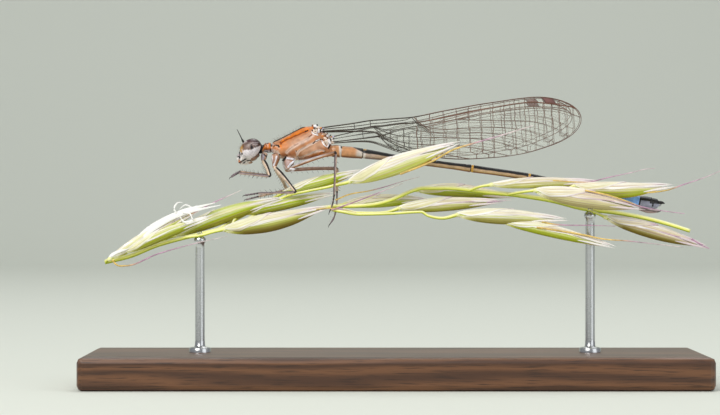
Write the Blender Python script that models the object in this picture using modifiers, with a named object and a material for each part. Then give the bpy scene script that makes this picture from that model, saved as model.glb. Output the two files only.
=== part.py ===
"""A female blue-tailed damselfly, life size, perched on a cut length of flowering grass above a plain stand.

The head points to -X and the tail to +X. The insect's left side faces -Y. Everything on the insect and its
perch is placed from the middle of the thorax, which an empty carries; the stand is placed from the floor.
"""

import math

import bmesh
import bpy
from mathutils import Matrix, Vector

MM = 0.001

# Driving dimensions, in millimetres unless the name says otherwise. Insect and perch are measured from BODY_AT.
BODY_AT = Vector((-6.84, 0.0, 17.65))  # middle of the thorax, above the floor
JOINT_GAP = 0.1  # left open between neighbouring pieces
TUBE_RESOLUTION = 2  # an eight-sided tube
BODY_RESOLUTION = 4  # a twelve-sided tube
BALL_SEGMENTS = (24, 12)  # round a stretched sphere and from pole to pole
SHARP_DEG = 40.0  # edges that turn by more than this stay crisp
TAPER = 0.6  # a tapered rod's tip radius, as a share of its root's

EYE_CENTRE = Vector((-3.79, 1.12, -0.28))
EYE_HALF = Vector((0.68, 0.70, 0.77))
EYE_TILT_DEG = 40.0  # the eye's long axis leans back from upright
# Centre and half sizes of the skull, the face and the mouth, which are one solid.
HEAD_LUMPS = {
    "skull": (Vector((-3.72, 0.0, -0.44)), Vector((0.66, 1.24, 0.74))),
    "face": (Vector((-4.34, 0.0, -0.82)), Vector((0.46, 0.64, 0.50))),
    "mouth": (Vector((-4.08, 0.0, -1.16)), Vector((0.46, 0.52, 0.40))),
}
ANTENNA = {"root": (-4.50, 0.36, 0.46), "tip": (-4.80, 0.62, 1.12), "radius": 0.25}
NECK = {"front": -2.99, "back": -2.87, "height": -0.28, "radius": 0.34}

# Stations of the two thorax pieces: x, top, bottom and half the width.
PROTHORAX = [
    (-2.80, 0.02, -0.46, 0.42),
    (-2.66, 0.12, -0.54, 0.58),
    (-2.44, 0.18, -0.58, 0.62),
    (-2.28, 0.12, -0.56, 0.56),
]
THORAX = [
    (-2.18, 0.16, -0.60, 0.55),
    (-1.85, 0.34, -0.85, 0.78),
    (-1.21, 0.66, -1.06, 0.95),
    (-0.55, 1.00, -1.08, 1.04),
    (0.15, 1.31, -1.02, 1.06),
    (0.71, 1.36, -0.97, 1.02),
    (1.20, 1.22, -0.93, 0.95),
    (1.60, 0.96, -0.90, 0.84),
    (1.90, 0.62, -0.88, 0.68),
    (2.08, 0.28, -0.84, 0.50),
]
THORAX_KEEL = 0.30  # how much narrower the back is than the flank
THORAX_SIDES = 20

# Where the abdomen's ten rings meet (x, z), and the radii along each ring.
ABDOMEN_JOINTS = [
    (2.20, -0.44),
    (2.91, -0.49),
    (4.50, -0.64),
    (8.31, -1.18),
    (12.43, -1.73),
    (16.62, -2.35),
    (20.44, -3.16),
    (23.38, -3.82),
    (24.78, -4.15),
    (25.74, -4.30),
    (26.22, -4.34),
]
ABDOMEN_RADII = [
    (0.38, 0.46, 0.43),
    (0.43, 0.43, 0.40, 0.37),
    (0.37, 0.32, 0.27, 0.26, 0.28),
    (0.27, 0.25, 0.25, 0.28),
    (0.28, 0.26, 0.26, 0.29),
    (0.28, 0.27, 0.28, 0.30),
    (0.30, 0.31, 0.36),
    (0.38, 0.42, 0.43),
    (0.43, 0.46, 0.44),
    (0.42, 0.34),
]
CERCUS = {"out": 0.17, "up": 0.10, "length": 0.36, "radius": 0.13}
OVIPOSITOR = {"start": 0.10, "length": 1.30, "below": 0.75, "radius": 0.15, "pitch_deg": 3.0, "full_until": 0.6}

# Wings: the hinge (x, z), the length and the leading edge's place across the body. The pitch upwards and the
# lean outwards below the leading edge differ a little between the left (-1) and the right (+1).
WING_THICKNESS = 0.5
FORE_WING = {
    "hinge": (1.47, 1.10),
    "length": 19.02,
    "side": 0.90,
    "pitch_deg": {-1: 2.5, 1: 2.6},
    "lean_deg": {-1: 3.0, 1: 17.0},
}
HIND_WING = {
    "hinge": (2.28, 0.51),
    "length": 17.60,
    "side": 0.30,
    "pitch_deg": {-1: 4.9, 1: 6.1},
    "lean_deg": {-1: 0.0, 1: 7.0},
}
LEAN_FROM, LEAN_FULL = 0.10, 0.55  # shares of the length between which a wing's lean grows
# Share of the length, then the leading and the trailing edge's distance from the hinge-to-tip line.
FORE_EDGES = [
    (0.000, 0.18, -0.18),
    (0.115, 0.39, -0.24),
    (0.180, 0.54, -0.32),
    (0.210, 0.57, -0.45),
    (0.245, 0.59, -0.94),
    (0.300, 0.62, -1.52),
    (0.380, 0.73, -2.10),
    (0.470, 1.01, -2.49),
    (0.580, 1.30, -2.62),
    (0.680, 1.51, -2.58),
    (0.780, 1.70, -2.38),
    (0.860, 1.69, -2.01),
    (0.925, 1.40, -1.58),
    (0.970, 0.96, -1.06),
    (0.993, 0.49, -0.54),
    (1.000, 0.10, -0.10),
]
HIND_EDGES = [
    (0.000, 0.12, -0.40),
    (0.130, 0.43, -0.51),
    (0.160, 0.49, -0.61),
    (0.220, 0.56, -1.08),
    (0.260, 0.59, -1.41),
    (0.360, 0.64, -1.89),
    (0.460, 0.85, -2.10),
    (0.570, 1.10, -2.13),
    (0.680, 1.26, -2.03),
    (0.780, 1.36, -1.86),
    (0.860, 1.34, -1.49),
    (0.930, 1.09, -1.05),
    (0.970, 0.77, -0.69),
    (0.993, 0.40, -0.34),
    (1.000, 0.10, -0.10),
]

LEG_RADIUS = 0.25
COXA_RADIUS = 0.31
# Each leg from the body outwards, as (x, distance from the middle of the body, z): the coxa's root, the
# hip, the knee, the ankle and then the foot's own places.
LEGS = {
    "front_left": [
        (-2.72, 0.40, -0.78),
        (-2.87, 0.58, -1.18),
        (-2.31, 1.15, -2.31),
        (-4.68, 0.62, -2.07),
        (-5.21, 0.42, -2.37),
    ],
    "front_right": [
        (-2.72, 0.40, -0.78),
        (-2.87, 0.58, -1.18),
        (-2.46, 1.22, -2.24),
        (-4.62, 0.66, -1.94),
        (-5.12, 0.50, -2.22),
    ],
    "mid_left": [
        (-2.08, 0.46, -0.98),
        (-2.03, 0.70, -1.68),
        (-0.42, 1.75, -3.48),
        (-3.25, 0.95, -3.56),
        (-4.20, 0.62, -3.71),
    ],
    "mid_right": [
        (-2.08, 0.46, -0.98),
        (-2.04, 0.70, -1.70),
        (-1.15, 2.30, -3.29),
        (-3.30, 0.95, -3.80),
        (-4.16, 0.66, -4.02),
    ],
    "hind_left": [
        (-1.15, 0.46, -1.32),
        (-0.98, 0.76, -1.80),
        (2.50, 1.55, -0.55),
        (2.37, 0.98, -3.71),
        (2.23, 0.70, -4.36),
        (2.02, 0.62, -4.96),
    ],
    "hind_right": [
        (-1.15, 0.46, -1.32),
        (-1.06, 0.72, -1.92),
        (2.58, 1.50, -1.70),
        (2.57, 0.98, -3.46),
        (2.53, 0.76, -4.60),
        (2.28, 0.66, -5.46),
        (2.02, 0.48, -5.90),
    ],
}

# The cut grass stem (x, z) and its radius at both ends.
STEM_PATH = [
    (-14.49, -8.60),
    (-12.65, -8.16),
    (-10.59, -7.35),
    (-7.50, -6.54),
    (-5.29, -6.03),
    (-2.72, -5.37),
    (-0.15, -4.85),
    (2.43, -4.52),
    (4.12, -4.49),
    (5.51, -4.34),
    (6.62, -4.01),
    (7.87, -3.46),
    (8.97, -3.16),
    (10.51, -3.16),
    (13.60, -3.46),
    (16.03, -3.71),
    (18.38, -4.08),
    (20.74, -4.67),
    (22.79, -4.93),
    (24.85, -5.29),
    (26.91, -5.81),
    (28.53, -6.32),
]
STEM_RADII = (0.30, 0.19)
# Florets of each spikelet: base, tip, half the height and how far the middle bows up.
FLORET_FLATNESS = 0.5  # thickness across the body, as a share of the height
FLORET_STEPS = 10
FLORET_SIDES = 12
FLORET_END = 0.07  # half the height left at base and tip
FLORET_SWELL = (0.85, 0.8)  # the first moves the widest place towards the base, the second fills out the spindle
SPIKELETS = {
    "perch_spikelet_01": [
        ((-14.10, -0.52, -8.38), (-7.50, -0.20, -4.73), 0.46, 0.10),
        ((-13.00, -0.56, -7.90), (-6.90, -0.46, -5.40), 0.44, 0.16),
    ],
    "perch_spikelet_02": [
        ((-9.55, 0.40, -6.69), (-1.60, 0.30, -4.00), 0.60, 0.22),
        ((-4.60, 0.36, -5.05), (2.05, 0.52, -3.66), 0.46, 0.05),
    ],
    "perch_spikelet_03": [((-5.88, -0.72, -6.25), (1.60, -0.72, -4.66), 0.70, -0.20)],
    "perch_spikelet_04": [((-1.32, 0.00, -3.46), (4.12, 0.00, -1.99), 0.46, 0.00)],
    "perch_spikelet_05": [((3.38, -0.62, -2.74), (11.10, -2.80, -0.04), 0.72, 0.00)],
    "perch_spikelet_06": [((3.10, 0.66, -4.34), (8.97, 0.66, -4.04), 0.50, 0.10)],
    "perch_spikelet_07": [((6.95, -0.10, -4.68), (14.34, -0.10, -4.19), 0.52, 0.08)],
    "perch_spikelet_08": [((8.38, 0.64, -3.31), (15.22, 0.64, -3.82), 0.50, 0.20)],
    "perch_spikelet_09": [
        ((13.75, -0.62, -2.94), (21.32, -0.78, -2.72), 0.40, 0.06),
        ((19.80, -0.80, -3.06), (26.84, -0.98, -3.01), 0.62, -0.30),
    ],
    "perch_spikelet_10": [((16.98, -1.10, -3.33), (24.63, -1.70, -4.63), 0.68, 0.00)],
    "perch_spikelet_11": [
        ((11.25, -0.72, -5.11), (18.97, -0.76, -5.48), 0.58, 0.02),
        ((14.50, -0.74, -5.56), (22.50, -1.00, -7.43), 0.46, 0.12),
    ],
    "perch_spikelet_12": [((22.21, -0.42, -5.29), (29.41, -0.42, -7.43), 0.56, 0.00)],
}

BASE_SIZE = Vector((45.4, 18.0, 2.4))
BASE_BEVEL = 0.4
BASE_BEVEL_STEPS = 2
ROD_RADIUS = 0.45
ROD_CLEARANCE = 0.21  # between a rod's flat top and the stem's lowest line, as the stem slopes
RODS = {"stand_rod_left": -7.50, "stand_rod_right": 21.18}


def clear_scene():
    for obj in list(bpy.data.objects):
        bpy.data.objects.remove(obj, do_unlink=True)


def new_collection(name):
    made = bpy.data.collections.new(name)
    bpy.context.scene.collection.children.link(made)
    return made


def new_material(name, colour, roughness, metallic=0.0):
    made = bpy.data.materials.new(name)
    made.use_nodes = True
    shader = made.node_tree.nodes["Principled BSDF"]
    shader.inputs["Base Color"].default_value = (*colour, 1.0)
    shader.inputs["Roughness"].default_value = roughness
    shader.inputs["Metallic"].default_value = metallic
    return made


def place(obj, material, group, parent=None):
    """Gives an object its material, its collection and what it hangs from."""
    obj.data.materials.append(material)
    group.objects.link(obj)
    obj.parent = parent
    return obj


def metres(point):
    return Vector(point) * MM


def mesh_object(name, shape):
    data = bpy.data.meshes.new(name)
    shape.to_mesh(data)
    shape.free()
    data.shade_smooth()
    data.set_sharp_from_angle(angle=math.radians(SHARP_DEG))
    return bpy.data.objects.new(name, data)


def ellipsoid(name, centre, half, tilt_deg=0.0, grow=0.0):
    """A stretched sphere, leaning back by tilt_deg about the Y axis and grown by grow all round."""
    shape = bmesh.new()
    around, down = BALL_SEGMENTS
    bmesh.ops.create_uvsphere(shape, u_segments=around, v_segments=down, radius=1.0)
    stretch = Matrix.Diagonal(((half + Vector((grow, grow, grow))) * MM).to_4d())
    lean = Matrix.Rotation(math.radians(tilt_deg), 4, "Y")
    shape.transform(Matrix.Translation(metres(centre)) @ lean @ stretch)
    return mesh_object(name, shape)


def skin_over(name, loops):
    """A closed skin over loops of points, each loop with the same number of points, and capped at both ends."""
    shape = bmesh.new()
    rings = [[shape.verts.new(point) for point in loop] for loop in loops]
    for first, second in zip(rings, rings[1:]):
        for step in range(len(first)):
            after = (step + 1) % len(first)
            shape.faces.new((first[step], first[after], second[after], second[step]))
    shape.faces.new(rings[0])
    shape.faces.new(reversed(rings[-1]))
    bmesh.ops.recalc_face_normals(shape, faces=shape.faces)
    return mesh_object(name, shape)


def loft(name, rings, sides, keel=0.0):
    """A closed skin over oval rings, each a (centre, sideways half axis, upward half axis).

    The keel draws the upper half of each ring in towards a ridge along the top.
    """
    loops = []
    for centre, side, up in rings:
        loop = []
        for step in range(sides):
            turn = math.tau * step / sides
            across = math.cos(turn) * (1 - keel * max(0.0, math.sin(turn)))
            loop.append(centre + side * across + up * math.sin(turn))
        loops.append(loop)
    return skin_over(name, loops)


def tube(name, path, radii, resolution=TUBE_RESOLUTION):
    """A round rod along a path in millimetres, with its own radius at each point."""
    data = bpy.data.curves.new(name, "CURVE")
    data.dimensions = "3D"
    data.bevel_depth = MM
    data.bevel_resolution = resolution
    data.use_fill_caps = True
    line = data.splines.new("POLY")
    line.points.add(len(path) - 1)
    for knot, point, radius in zip(line.points, path, radii):
        knot.co = (*metres(point), 1.0)
        knot.radius = radius
    return bpy.data.objects.new(name, data)


def combine(obj, other, operation, group):
    """Joins a hidden neighbour to obj (UNION) or cuts it away (DIFFERENCE)."""
    other.hide_render = True
    other.display_type = "WIRE"
    group.objects.link(other)
    other.parent = obj.parent
    change = obj.modifiers.new(other.name, "BOOLEAN")
    change.operation = operation
    change.solver = "EXACT"
    change.object = other


def on_side(point, side):
    """A point given outwards from the middle, on the left (-1) or the right (+1)."""
    x, outwards, z = point
    return Vector((x, side * outwards, z))


def build_head(body, parts, cutters, paint):
    head = place(ellipsoid("head", *HEAD_LUMPS["skull"]), paint["head"], parts, body)
    for lump in ("face", "mouth"):
        combine(head, ellipsoid(f"head_{lump}", *HEAD_LUMPS[lump]), "UNION", cutters)
    for label, side in (("left", -1), ("right", 1)):
        centre = on_side(EYE_CENTRE, side)
        place(ellipsoid(f"eye_{label}", centre, EYE_HALF, EYE_TILT_DEG), paint["eye"], parts, body)
        socket = ellipsoid(f"socket_{label}", centre, EYE_HALF, EYE_TILT_DEG, JOINT_GAP)
        combine(head, socket, "DIFFERENCE", cutters)
        ends = [on_side(ANTENNA[key], side) for key in ("root", "tip")]
        feeler = tube(f"antenna_{label}", ends, [ANTENNA["radius"]] * 2)
        place(feeler, paint["dark"], parts, body)
    ends = [(NECK[key], 0.0, NECK["height"]) for key in ("front", "back")]
    place(tube("neck", ends, [NECK["radius"]] * 2, BODY_RESOLUTION), paint["dark"], parts, body)


def build_thorax(body, parts, paint):
    for name, stations in (("prothorax", PROTHORAX), ("thorax", THORAX)):
        rings = []
        for x, top, bottom, half_width in stations:
            centre = metres((x, 0.0, (top + bottom) / 2))
            side = metres((0.0, half_width, 0.0))
            up = metres((0.0, 0.0, (top - bottom) / 2))
            rings.append((centre, side, up))
        place(loft(name, rings, THORAX_SIDES, THORAX_KEEL), paint["thorax"], parts, body)


def build_abdomen(body, parts, paint):
    joints = [Vector((x, 0.0, z)) for x, z in ABDOMEN_JOINTS]
    for number, radii in enumerate(ABDOMEN_RADII, 1):
        start, end = joints[number - 1], joints[number]
        inset = (end - start).normalized() * JOINT_GAP / 2
        steps = len(radii) - 1
        path = [(start + inset).lerp(end - inset, step / steps) for step in range(steps + 1)]
        colour = "blue" if number == 8 else "abdomen"
        ring = tube(f"abdomen_{number:02d}", path, radii, BODY_RESOLUTION)
        place(ring, paint[colour], parts, body)
    build_ovipositor(joints[8], body, parts, paint)
    for label, side in (("left", -1), ("right", 1)):
        root = joints[-1] + Vector((JOINT_GAP, side * CERCUS["out"], CERCUS["up"]))
        tip = root + Vector((CERCUS["length"], 0.0, 0.0))
        radii = (CERCUS["radius"], CERCUS["radius"] * TAPER)
        place(tube(f"cercus_{label}", [root, tip], radii), paint["dark"], parts, body)


def build_ovipositor(ring_start, body, parts, paint):
    """The egg-laying blades, one tapered rod under the ninth ring."""
    lean = math.radians(OVIPOSITOR["pitch_deg"])
    root = ring_start + Vector((OVIPOSITOR["start"], 0.0, -OVIPOSITOR["below"]))
    tip = root + Vector((math.cos(lean), 0.0, -math.sin(lean))) * OVIPOSITOR["length"]
    radii = (OVIPOSITOR["radius"], OVIPOSITOR["radius"], OVIPOSITOR["radius"] * TAPER)
    path = [root, root.lerp(tip, OVIPOSITOR["full_until"]), tip]
    place(tube("ovipositor", path, radii), paint["abdomen"], parts, body)


def wing_point(wing, side, share, up, leading):
    """A point of a wing's middle layer, up from the hinge-to-tip line, given its leading edge's height there."""
    pitch = math.radians(wing["pitch_deg"][side])
    grown = min(max((share - LEAN_FROM) / (LEAN_FULL - LEAN_FROM), 0.0), 1.0)
    grown = grown * grown * (3 - 2 * grown)
    spread = (leading - up) * math.tan(math.radians(wing["lean_deg"][side])) * grown
    along = share * wing["length"]
    hinge_x, hinge_z = wing["hinge"]
    x = hinge_x + along * math.cos(pitch) - up * math.sin(pitch)
    z = hinge_z + along * math.sin(pitch) + up * math.cos(pitch)
    return Vector((x, side * (wing["side"] + spread), z))


def build_wing(name, wing, edges, side, body, parts, material):
    """An upright plate through the leading and the trailing edge at each station, twisted by its lean."""
    half = Vector((0.0, WING_THICKNESS / 2, 0.0))
    loops = []
    for share, leading, trailing in edges:
        front = wing_point(wing, side, share, leading, leading)
        back = wing_point(wing, side, share, trailing, leading)
        loops.append([metres(corner) for corner in (front - half, front + half, back + half, back - half)])
    place(skin_over(name, loops), material, parts, body)


def knee_room(hip, knee, ankle):
    """How far from the knee the shin starts, so that it clears the thigh at this bend."""
    bend = (hip - knee).angle(ankle - knee)
    return (LEG_RADIUS * (1 + math.cos(bend)) + JOINT_GAP) / math.sin(bend)


def build_leg(name, places, side, body, parts, paint):
    coxa, hip, knee, ankle, *foot = [on_side(point, side) for point in places]
    shin = (ankle - knee).normalized()
    pieces = {
        "femur": ([coxa, hip, knee], [COXA_RADIUS, LEG_RADIUS, LEG_RADIUS]),
        "tibia": ([knee + shin * knee_room(hip, knee, ankle), ankle - shin * JOINT_GAP], [LEG_RADIUS] * 2),
        "tarsus": ([ankle, *foot], [LEG_RADIUS] * (1 + len(foot))),
    }
    for piece, (path, radii) in pieces.items():
        place(tube(f"leg_{name}_{piece}", path, radii), paint["leg"], parts, body)


def floret(name, base, tip, half_height, bow):
    """A closed spindle from base to tip, thickest a little before the middle."""
    start, end = metres(base), metres(tip)
    forward = (end - start).normalized()
    side = forward.cross(Vector((0, 0, 1))).normalized()
    up = side.cross(forward)
    rings = []
    for step in range(FLORET_STEPS + 1):
        share = step / FLORET_STEPS
        swell = math.sin(math.pi * share ** FLORET_SWELL[0]) ** FLORET_SWELL[1]
        height = (FLORET_END + (half_height - FLORET_END) * swell) * MM
        centre = start.lerp(end, share) + up * bow * MM * math.sin(math.pi * share)
        rings.append((centre, side * height * FLORET_FLATNESS, up * height))
    return loft(name, rings, FLORET_SIDES)


def build_perch(body, parts, cutters, paint):
    path = [(x, 0.0, z) for x, z in STEM_PATH]
    thick, thin = STEM_RADII
    radii = [thick + (thin - thick) * step / (len(path) - 1) for step in range(len(path))]
    place(tube("perch_stem", path, radii, BODY_RESOLUTION), paint["grass"], parts, body)
    for name, florets in SPIKELETS.items():
        spikelet = place(floret(name, *florets[0]), paint["grass"], parts, body)
        for number, extra in enumerate(florets[1:], 2):
            combine(spikelet, floret(f"{name}_floret_{number}", *extra), "UNION", cutters)


def stem_underside(x):
    """The height of the stem's lower edge at x, measured as the rest of the perch is."""
    thick, thin = STEM_RADII
    last = len(STEM_PATH) - 2
    for number, (first, second) in enumerate(zip(STEM_PATH, STEM_PATH[1:])):
        if first[0] <= x <= second[0] or number == last:
            share = (x - first[0]) / (second[0] - first[0])
            radius = thick + (thin - thick) * (number + share) / (len(STEM_PATH) - 1)
            return first[1] + share * (second[1] - first[1]) - radius


def build_stand(parts, paint):
    shape = bmesh.new()
    bmesh.ops.create_cube(shape, size=1.0)
    lift = Matrix.Translation(metres((0.0, 0.0, BASE_SIZE.z / 2)))
    shape.transform(lift @ Matrix.Diagonal((BASE_SIZE * MM).to_4d()))
    base = place(mesh_object("stand_base", shape), paint["wood"], parts)
    edge = base.modifiers.new("edge", "BEVEL")
    edge.width = BASE_BEVEL * MM
    edge.segments = BASE_BEVEL_STEPS
    for name, x in RODS.items():
        foot = Vector((BODY_AT.x + x, 0.0, BASE_SIZE.z + JOINT_GAP))
        top = Vector((foot.x, 0.0, BODY_AT.z + stem_underside(x) - ROD_CLEARANCE))
        place(tube(name, [foot, top], [ROD_RADIUS] * 2, BODY_RESOLUTION), paint["steel"], parts)


def main():
    clear_scene()
    parts = new_collection("damselfly")
    cutters = new_collection("cutters")
    paint = {
        "eye": new_material("eye", (0.42, 0.36, 0.33), 0.25),
        "head": new_material("head", (0.62, 0.45, 0.33), 0.5),
        "dark": new_material("dark", (0.03, 0.03, 0.03), 0.4),
        "thorax": new_material("thorax", (0.80, 0.45, 0.24), 0.45),
        "abdomen": new_material("abdomen", (0.36, 0.24, 0.14), 0.4),
        "blue": new_material("blue", (0.20, 0.42, 0.75), 0.4),
        "wing": new_material("wing", (0.62, 0.60, 0.50), 0.2),
        "leg": new_material("leg", (0.60, 0.48, 0.40), 0.5),
        "grass": new_material("grass", (0.62, 0.72, 0.36), 0.6),
        "wood": new_material("wood", (0.72, 0.58, 0.42), 0.55),
        "steel": new_material("steel", (0.62, 0.62, 0.62), 0.3, 1.0),
    }
    body = bpy.data.objects.new("body", None)
    parts.objects.link(body)
    body.location = metres(BODY_AT)
    build_head(body, parts, cutters, paint)
    build_thorax(body, parts, paint)
    build_abdomen(body, parts, paint)
    for label, side in (("left", -1), ("right", 1)):
        build_wing(f"wing_fore_{label}", FORE_WING, FORE_EDGES, side, body, parts, paint["wing"])
        build_wing(f"wing_hind_{label}", HIND_WING, HIND_EDGES, side, body, parts, paint["wing"])
    for name, places in LEGS.items():
        build_leg(name, places, -1 if name.endswith("left") else 1, body, parts, paint)
    build_perch(body, parts, cutters, paint)
    build_stand(parts, paint)


main()
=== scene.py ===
# %% [markdown]
# # A blue-tailed damselfly on a grass perch
# This lesson dresses a life-size damselfly model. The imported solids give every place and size, and each
# cell below makes one real piece of the insect, its perch or its stand around them. The insect is only
# 32 mm long, so all sizes here are in millimetres and turn into metres when a mesh is made.

# %% Load the frame
import math

import bpy
import numpy as np
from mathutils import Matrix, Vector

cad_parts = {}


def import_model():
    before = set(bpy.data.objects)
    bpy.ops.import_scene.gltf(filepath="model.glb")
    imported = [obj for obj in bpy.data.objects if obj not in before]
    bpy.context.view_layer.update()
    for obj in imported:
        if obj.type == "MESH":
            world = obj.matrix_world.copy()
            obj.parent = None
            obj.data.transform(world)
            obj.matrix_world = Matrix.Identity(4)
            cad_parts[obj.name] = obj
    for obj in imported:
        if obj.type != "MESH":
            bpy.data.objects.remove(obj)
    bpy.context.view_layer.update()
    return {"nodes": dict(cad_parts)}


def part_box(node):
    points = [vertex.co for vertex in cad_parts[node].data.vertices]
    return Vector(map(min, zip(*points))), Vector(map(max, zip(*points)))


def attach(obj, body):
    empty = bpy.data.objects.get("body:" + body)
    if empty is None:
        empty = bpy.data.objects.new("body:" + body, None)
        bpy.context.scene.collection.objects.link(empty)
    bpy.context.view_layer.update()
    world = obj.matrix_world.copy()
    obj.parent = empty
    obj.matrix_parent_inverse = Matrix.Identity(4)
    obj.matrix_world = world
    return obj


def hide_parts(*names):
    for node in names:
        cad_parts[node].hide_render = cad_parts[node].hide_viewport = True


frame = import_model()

MM = 0.001
LEFT, RIGHT = -1, 1
SIDES = {"left": LEFT, "right": RIGHT}
rng = np.random.default_rng(7)  # every run draws the same numbers
print("nodes in the frame:", len(frame["nodes"]))

# %% [markdown]
# The insect's own zero is the middle of its thorax, where the part's solids are measured from too. The
# thorax node's box gives that place, so nothing here is fitted by eye. Working from the thorax keeps the
# numbers small and easy to check against a ruler drawing of the insect.

# %% The insect's zero
THORAX_FRONT, THORAX_TOP = -2.18, 1.36
thorax_low, thorax_high = (np.array(corner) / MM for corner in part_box("thorax"))
ZERO = np.array([thorax_low[0] - THORAX_FRONT, 0.0, thorax_high[2] - THORAX_TOP])
BASE_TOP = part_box("stand_base")[1][2] / MM - ZERO[2]


def world(points):
    """Places measured from the thorax in millimetres, as metres in the frame."""
    return (np.asarray(points, float) + ZERO) * MM


print("thorax centre at", ZERO.round(2), "mm")

# %% [markdown]
# Most shapes on an insect follow a few measured stations: a leg's thickness, a wing's edge, a ring's
# width. `eased` draws a smooth line through such stations without overshooting them. `smooth_path` does
# the same for a path in space and spaces its points evenly, which keeps quads even along a limb.

# %% Curves through stations
def eased(stations):
    """A smooth function through (place, value) stations, flat where the stations turn back."""
    xs, ys = np.array(sorted(map(tuple, stations)), float).T
    rise = np.diff(ys) / np.diff(xs)
    slope = np.concatenate([rise[:1], (rise[:-1] + rise[1:]) / 2, rise[-1:]])
    slope[1:-1][rise[:-1] * rise[1:] <= 0] = 0.0

    def value(x):
        x = np.clip(x, xs[0], xs[-1])
        left = np.clip(np.searchsorted(xs, x) - 1, 0, len(xs) - 2)
        span = xs[left + 1] - xs[left]
        u = (x - xs[left]) / span
        ends = ys[left] * (1 + 2 * u) * (1 - u) ** 2 + ys[left + 1] * u * u * (3 - 2 * u)
        return ends + span * u * (1 - u) * (slope[left] * (1 - u) - slope[left + 1] * u)

    return value


def smooth_path(knots, count):
    """Evenly spaced points on a smooth curve through the knots."""
    knots = np.asarray(knots, float)
    along = np.concatenate([[0], np.cumsum(np.linalg.norm(np.diff(knots, axis=0), axis=1))])
    fine = np.linspace(0, along[-1], count * 8)
    dense = np.stack([eased(list(zip(along, knots[:, axis])))(fine) for axis in range(3)], axis=1)
    length = np.concatenate([[0], np.cumsum(np.linalg.norm(np.diff(dense, axis=0), axis=1))])
    even = np.linspace(0, length[-1], count)
    return np.stack([np.interp(even, length, dense[:, axis]) for axis in range(3)], axis=1)


def eased_radii(radii, count):
    """The radius at evenly spaced points, eased through evenly spaced stations."""
    return eased(list(zip(np.linspace(0, 1, len(radii)), radii)))(np.linspace(0, 1, count))


def smoothstep(low, high, value):
    """0 below low, 1 above high, and a soft change between (or the other way, if low is above high)."""
    u = np.clip((np.asarray(value, float) - low) / (high - low), 0, 1)
    return u * u * (3 - 2 * u)

# %% [markdown]
# Every skin is a grid of points: rows along a limb, columns around it. One helper closes a grid into a
# tube, and one turns points, faces and marks into a piece. Marks are numbers stored on the points, such as
# how black or how orange the skin is there, and the finishes read them. They stick to the surface in every
# view.

# %% Meshes from grids
def ring_angles(columns):
    return np.linspace(0, math.tau, columns, endpoint=False)


def closed(first, rings, last):
    """A tube's points in order: the middle of its first end, its rings, the middle of its last end."""
    return np.concatenate([[first], rings.reshape(-1, 3), [last]])


def tube_faces(rows, columns):
    """Quads round a tube, with a fan closing each end on an extra point (first and last point)."""
    ring = np.arange(columns)
    after = (ring + 1) % columns
    faces = []
    for row in range(rows - 1):
        first, second = 1 + row * columns, 1 + (row + 1) * columns
        faces += np.stack([first + ring, second + ring, second + after, first + after], axis=1).tolist()
    last, tip = 1 + (rows - 1) * columns, 1 + rows * columns
    faces += np.stack([0 * ring, 1 + ring, 1 + after], axis=1).tolist()
    faces += np.stack([0 * ring + tip, last + after, last + ring], axis=1).tolist()
    return faces


def path_frames(path, up=(0, 0, 1)):
    """The forward, sideways and upward directions at each point of a path."""
    forward = np.gradient(path, axis=0)
    forward /= np.linalg.norm(forward, axis=1, keepdims=True)
    side = np.cross(forward, np.asarray(up, float))
    side /= np.linalg.norm(side, axis=1, keepdims=True)
    return forward, side, np.cross(side, forward)


def tube_points(path, wide, high, columns, up=(0, 0, 1), shape=None):
    """A tube's points round a path, with half widths sideways and upwards at each point.

    shape(share, turn) may swell or pinch the radius, share running 0 to 1 along the path.
    """
    path = np.asarray(path, float)
    forward, side, top = path_frames(path, up)
    turn = ring_angles(columns)
    share = np.linspace(0, 1, len(path))
    swell = np.ones((len(path), columns)) if shape is None else shape(share[:, None], turn[None, :])
    wide, high = np.broadcast_to(wide, len(path)), np.broadcast_to(high, len(path))
    across = (np.cos(turn)[None, :] * wide[:, None] * swell)[..., None] * side[:, None, :]
    above = (np.sin(turn)[None, :] * high[:, None] * swell)[..., None] * top[:, None, :]
    rings = path[:, None, :] + across + above
    return closed(path[0], rings, path[-1])


def hand_over(piece, slot, *nodes):
    """Every piece rides the one rigid body and stands for the nodes that it replaces."""
    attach(piece, "root")
    if nodes:
        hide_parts(*nodes)
    return piece


def placed(name, data):
    """A new object in the scene, at the origin."""
    thing = bpy.data.objects.new(name, data)
    bpy.context.scene.collection.objects.link(thing)
    return thing


def store_marks(data, marks):
    """Writes each mark's number on every point of a mesh."""
    for mark, values in marks.items():
        layer = data.attributes.new(mark, "FLOAT", "POINT")
        layer.data.foreach_set("value", np.asarray(values, np.float32).ravel())


def make_piece(name, points, faces, finish, slot, nodes=(), marks=None):
    """A smooth-shaded piece at the origin, from points in millimetres from the thorax."""
    data = bpy.data.meshes.new(name)
    data.from_pydata(world(points).tolist(), [], faces)
    data.shade_smooth()
    store_marks(data, marks or {})
    data.materials.append(finish)
    return hand_over(placed(name, data), slot, *nodes)


def joined(parts):
    """Several (points, faces, marks) as one, keeping each mark that any of them has."""
    names = {mark for _, _, marks in parts for mark in marks}
    points, faces, marks, start = [], [], {mark: [] for mark in names}, 0
    for part_points, part_faces, part_marks in parts:
        points.append(part_points)
        faces += [[start + corner for corner in face] for face in part_faces]
        for mark in names:
            marks[mark].append(np.broadcast_to(part_marks.get(mark, 0.0), len(part_points)))
        start += len(part_points)
    return np.concatenate(points), faces, {mark: np.concatenate(values) for mark, values in marks.items()}


def make_joined(name, parts, finish, slot, nodes=()):
    """One piece from several (points, faces, marks)."""
    points, faces, marks = joined(parts)
    return make_piece(name, points, faces, finish, slot, nodes, marks)

# %% [markdown]
# A material is built in code, node by node. `add` makes one node and wires it in the same line, which
# keeps each finish readable as a recipe. A number that is the same everywhere is set on the shader. Paint
# is given as a chart's 0 to 255 values, which `shade` turns into what a shader takes.

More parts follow.
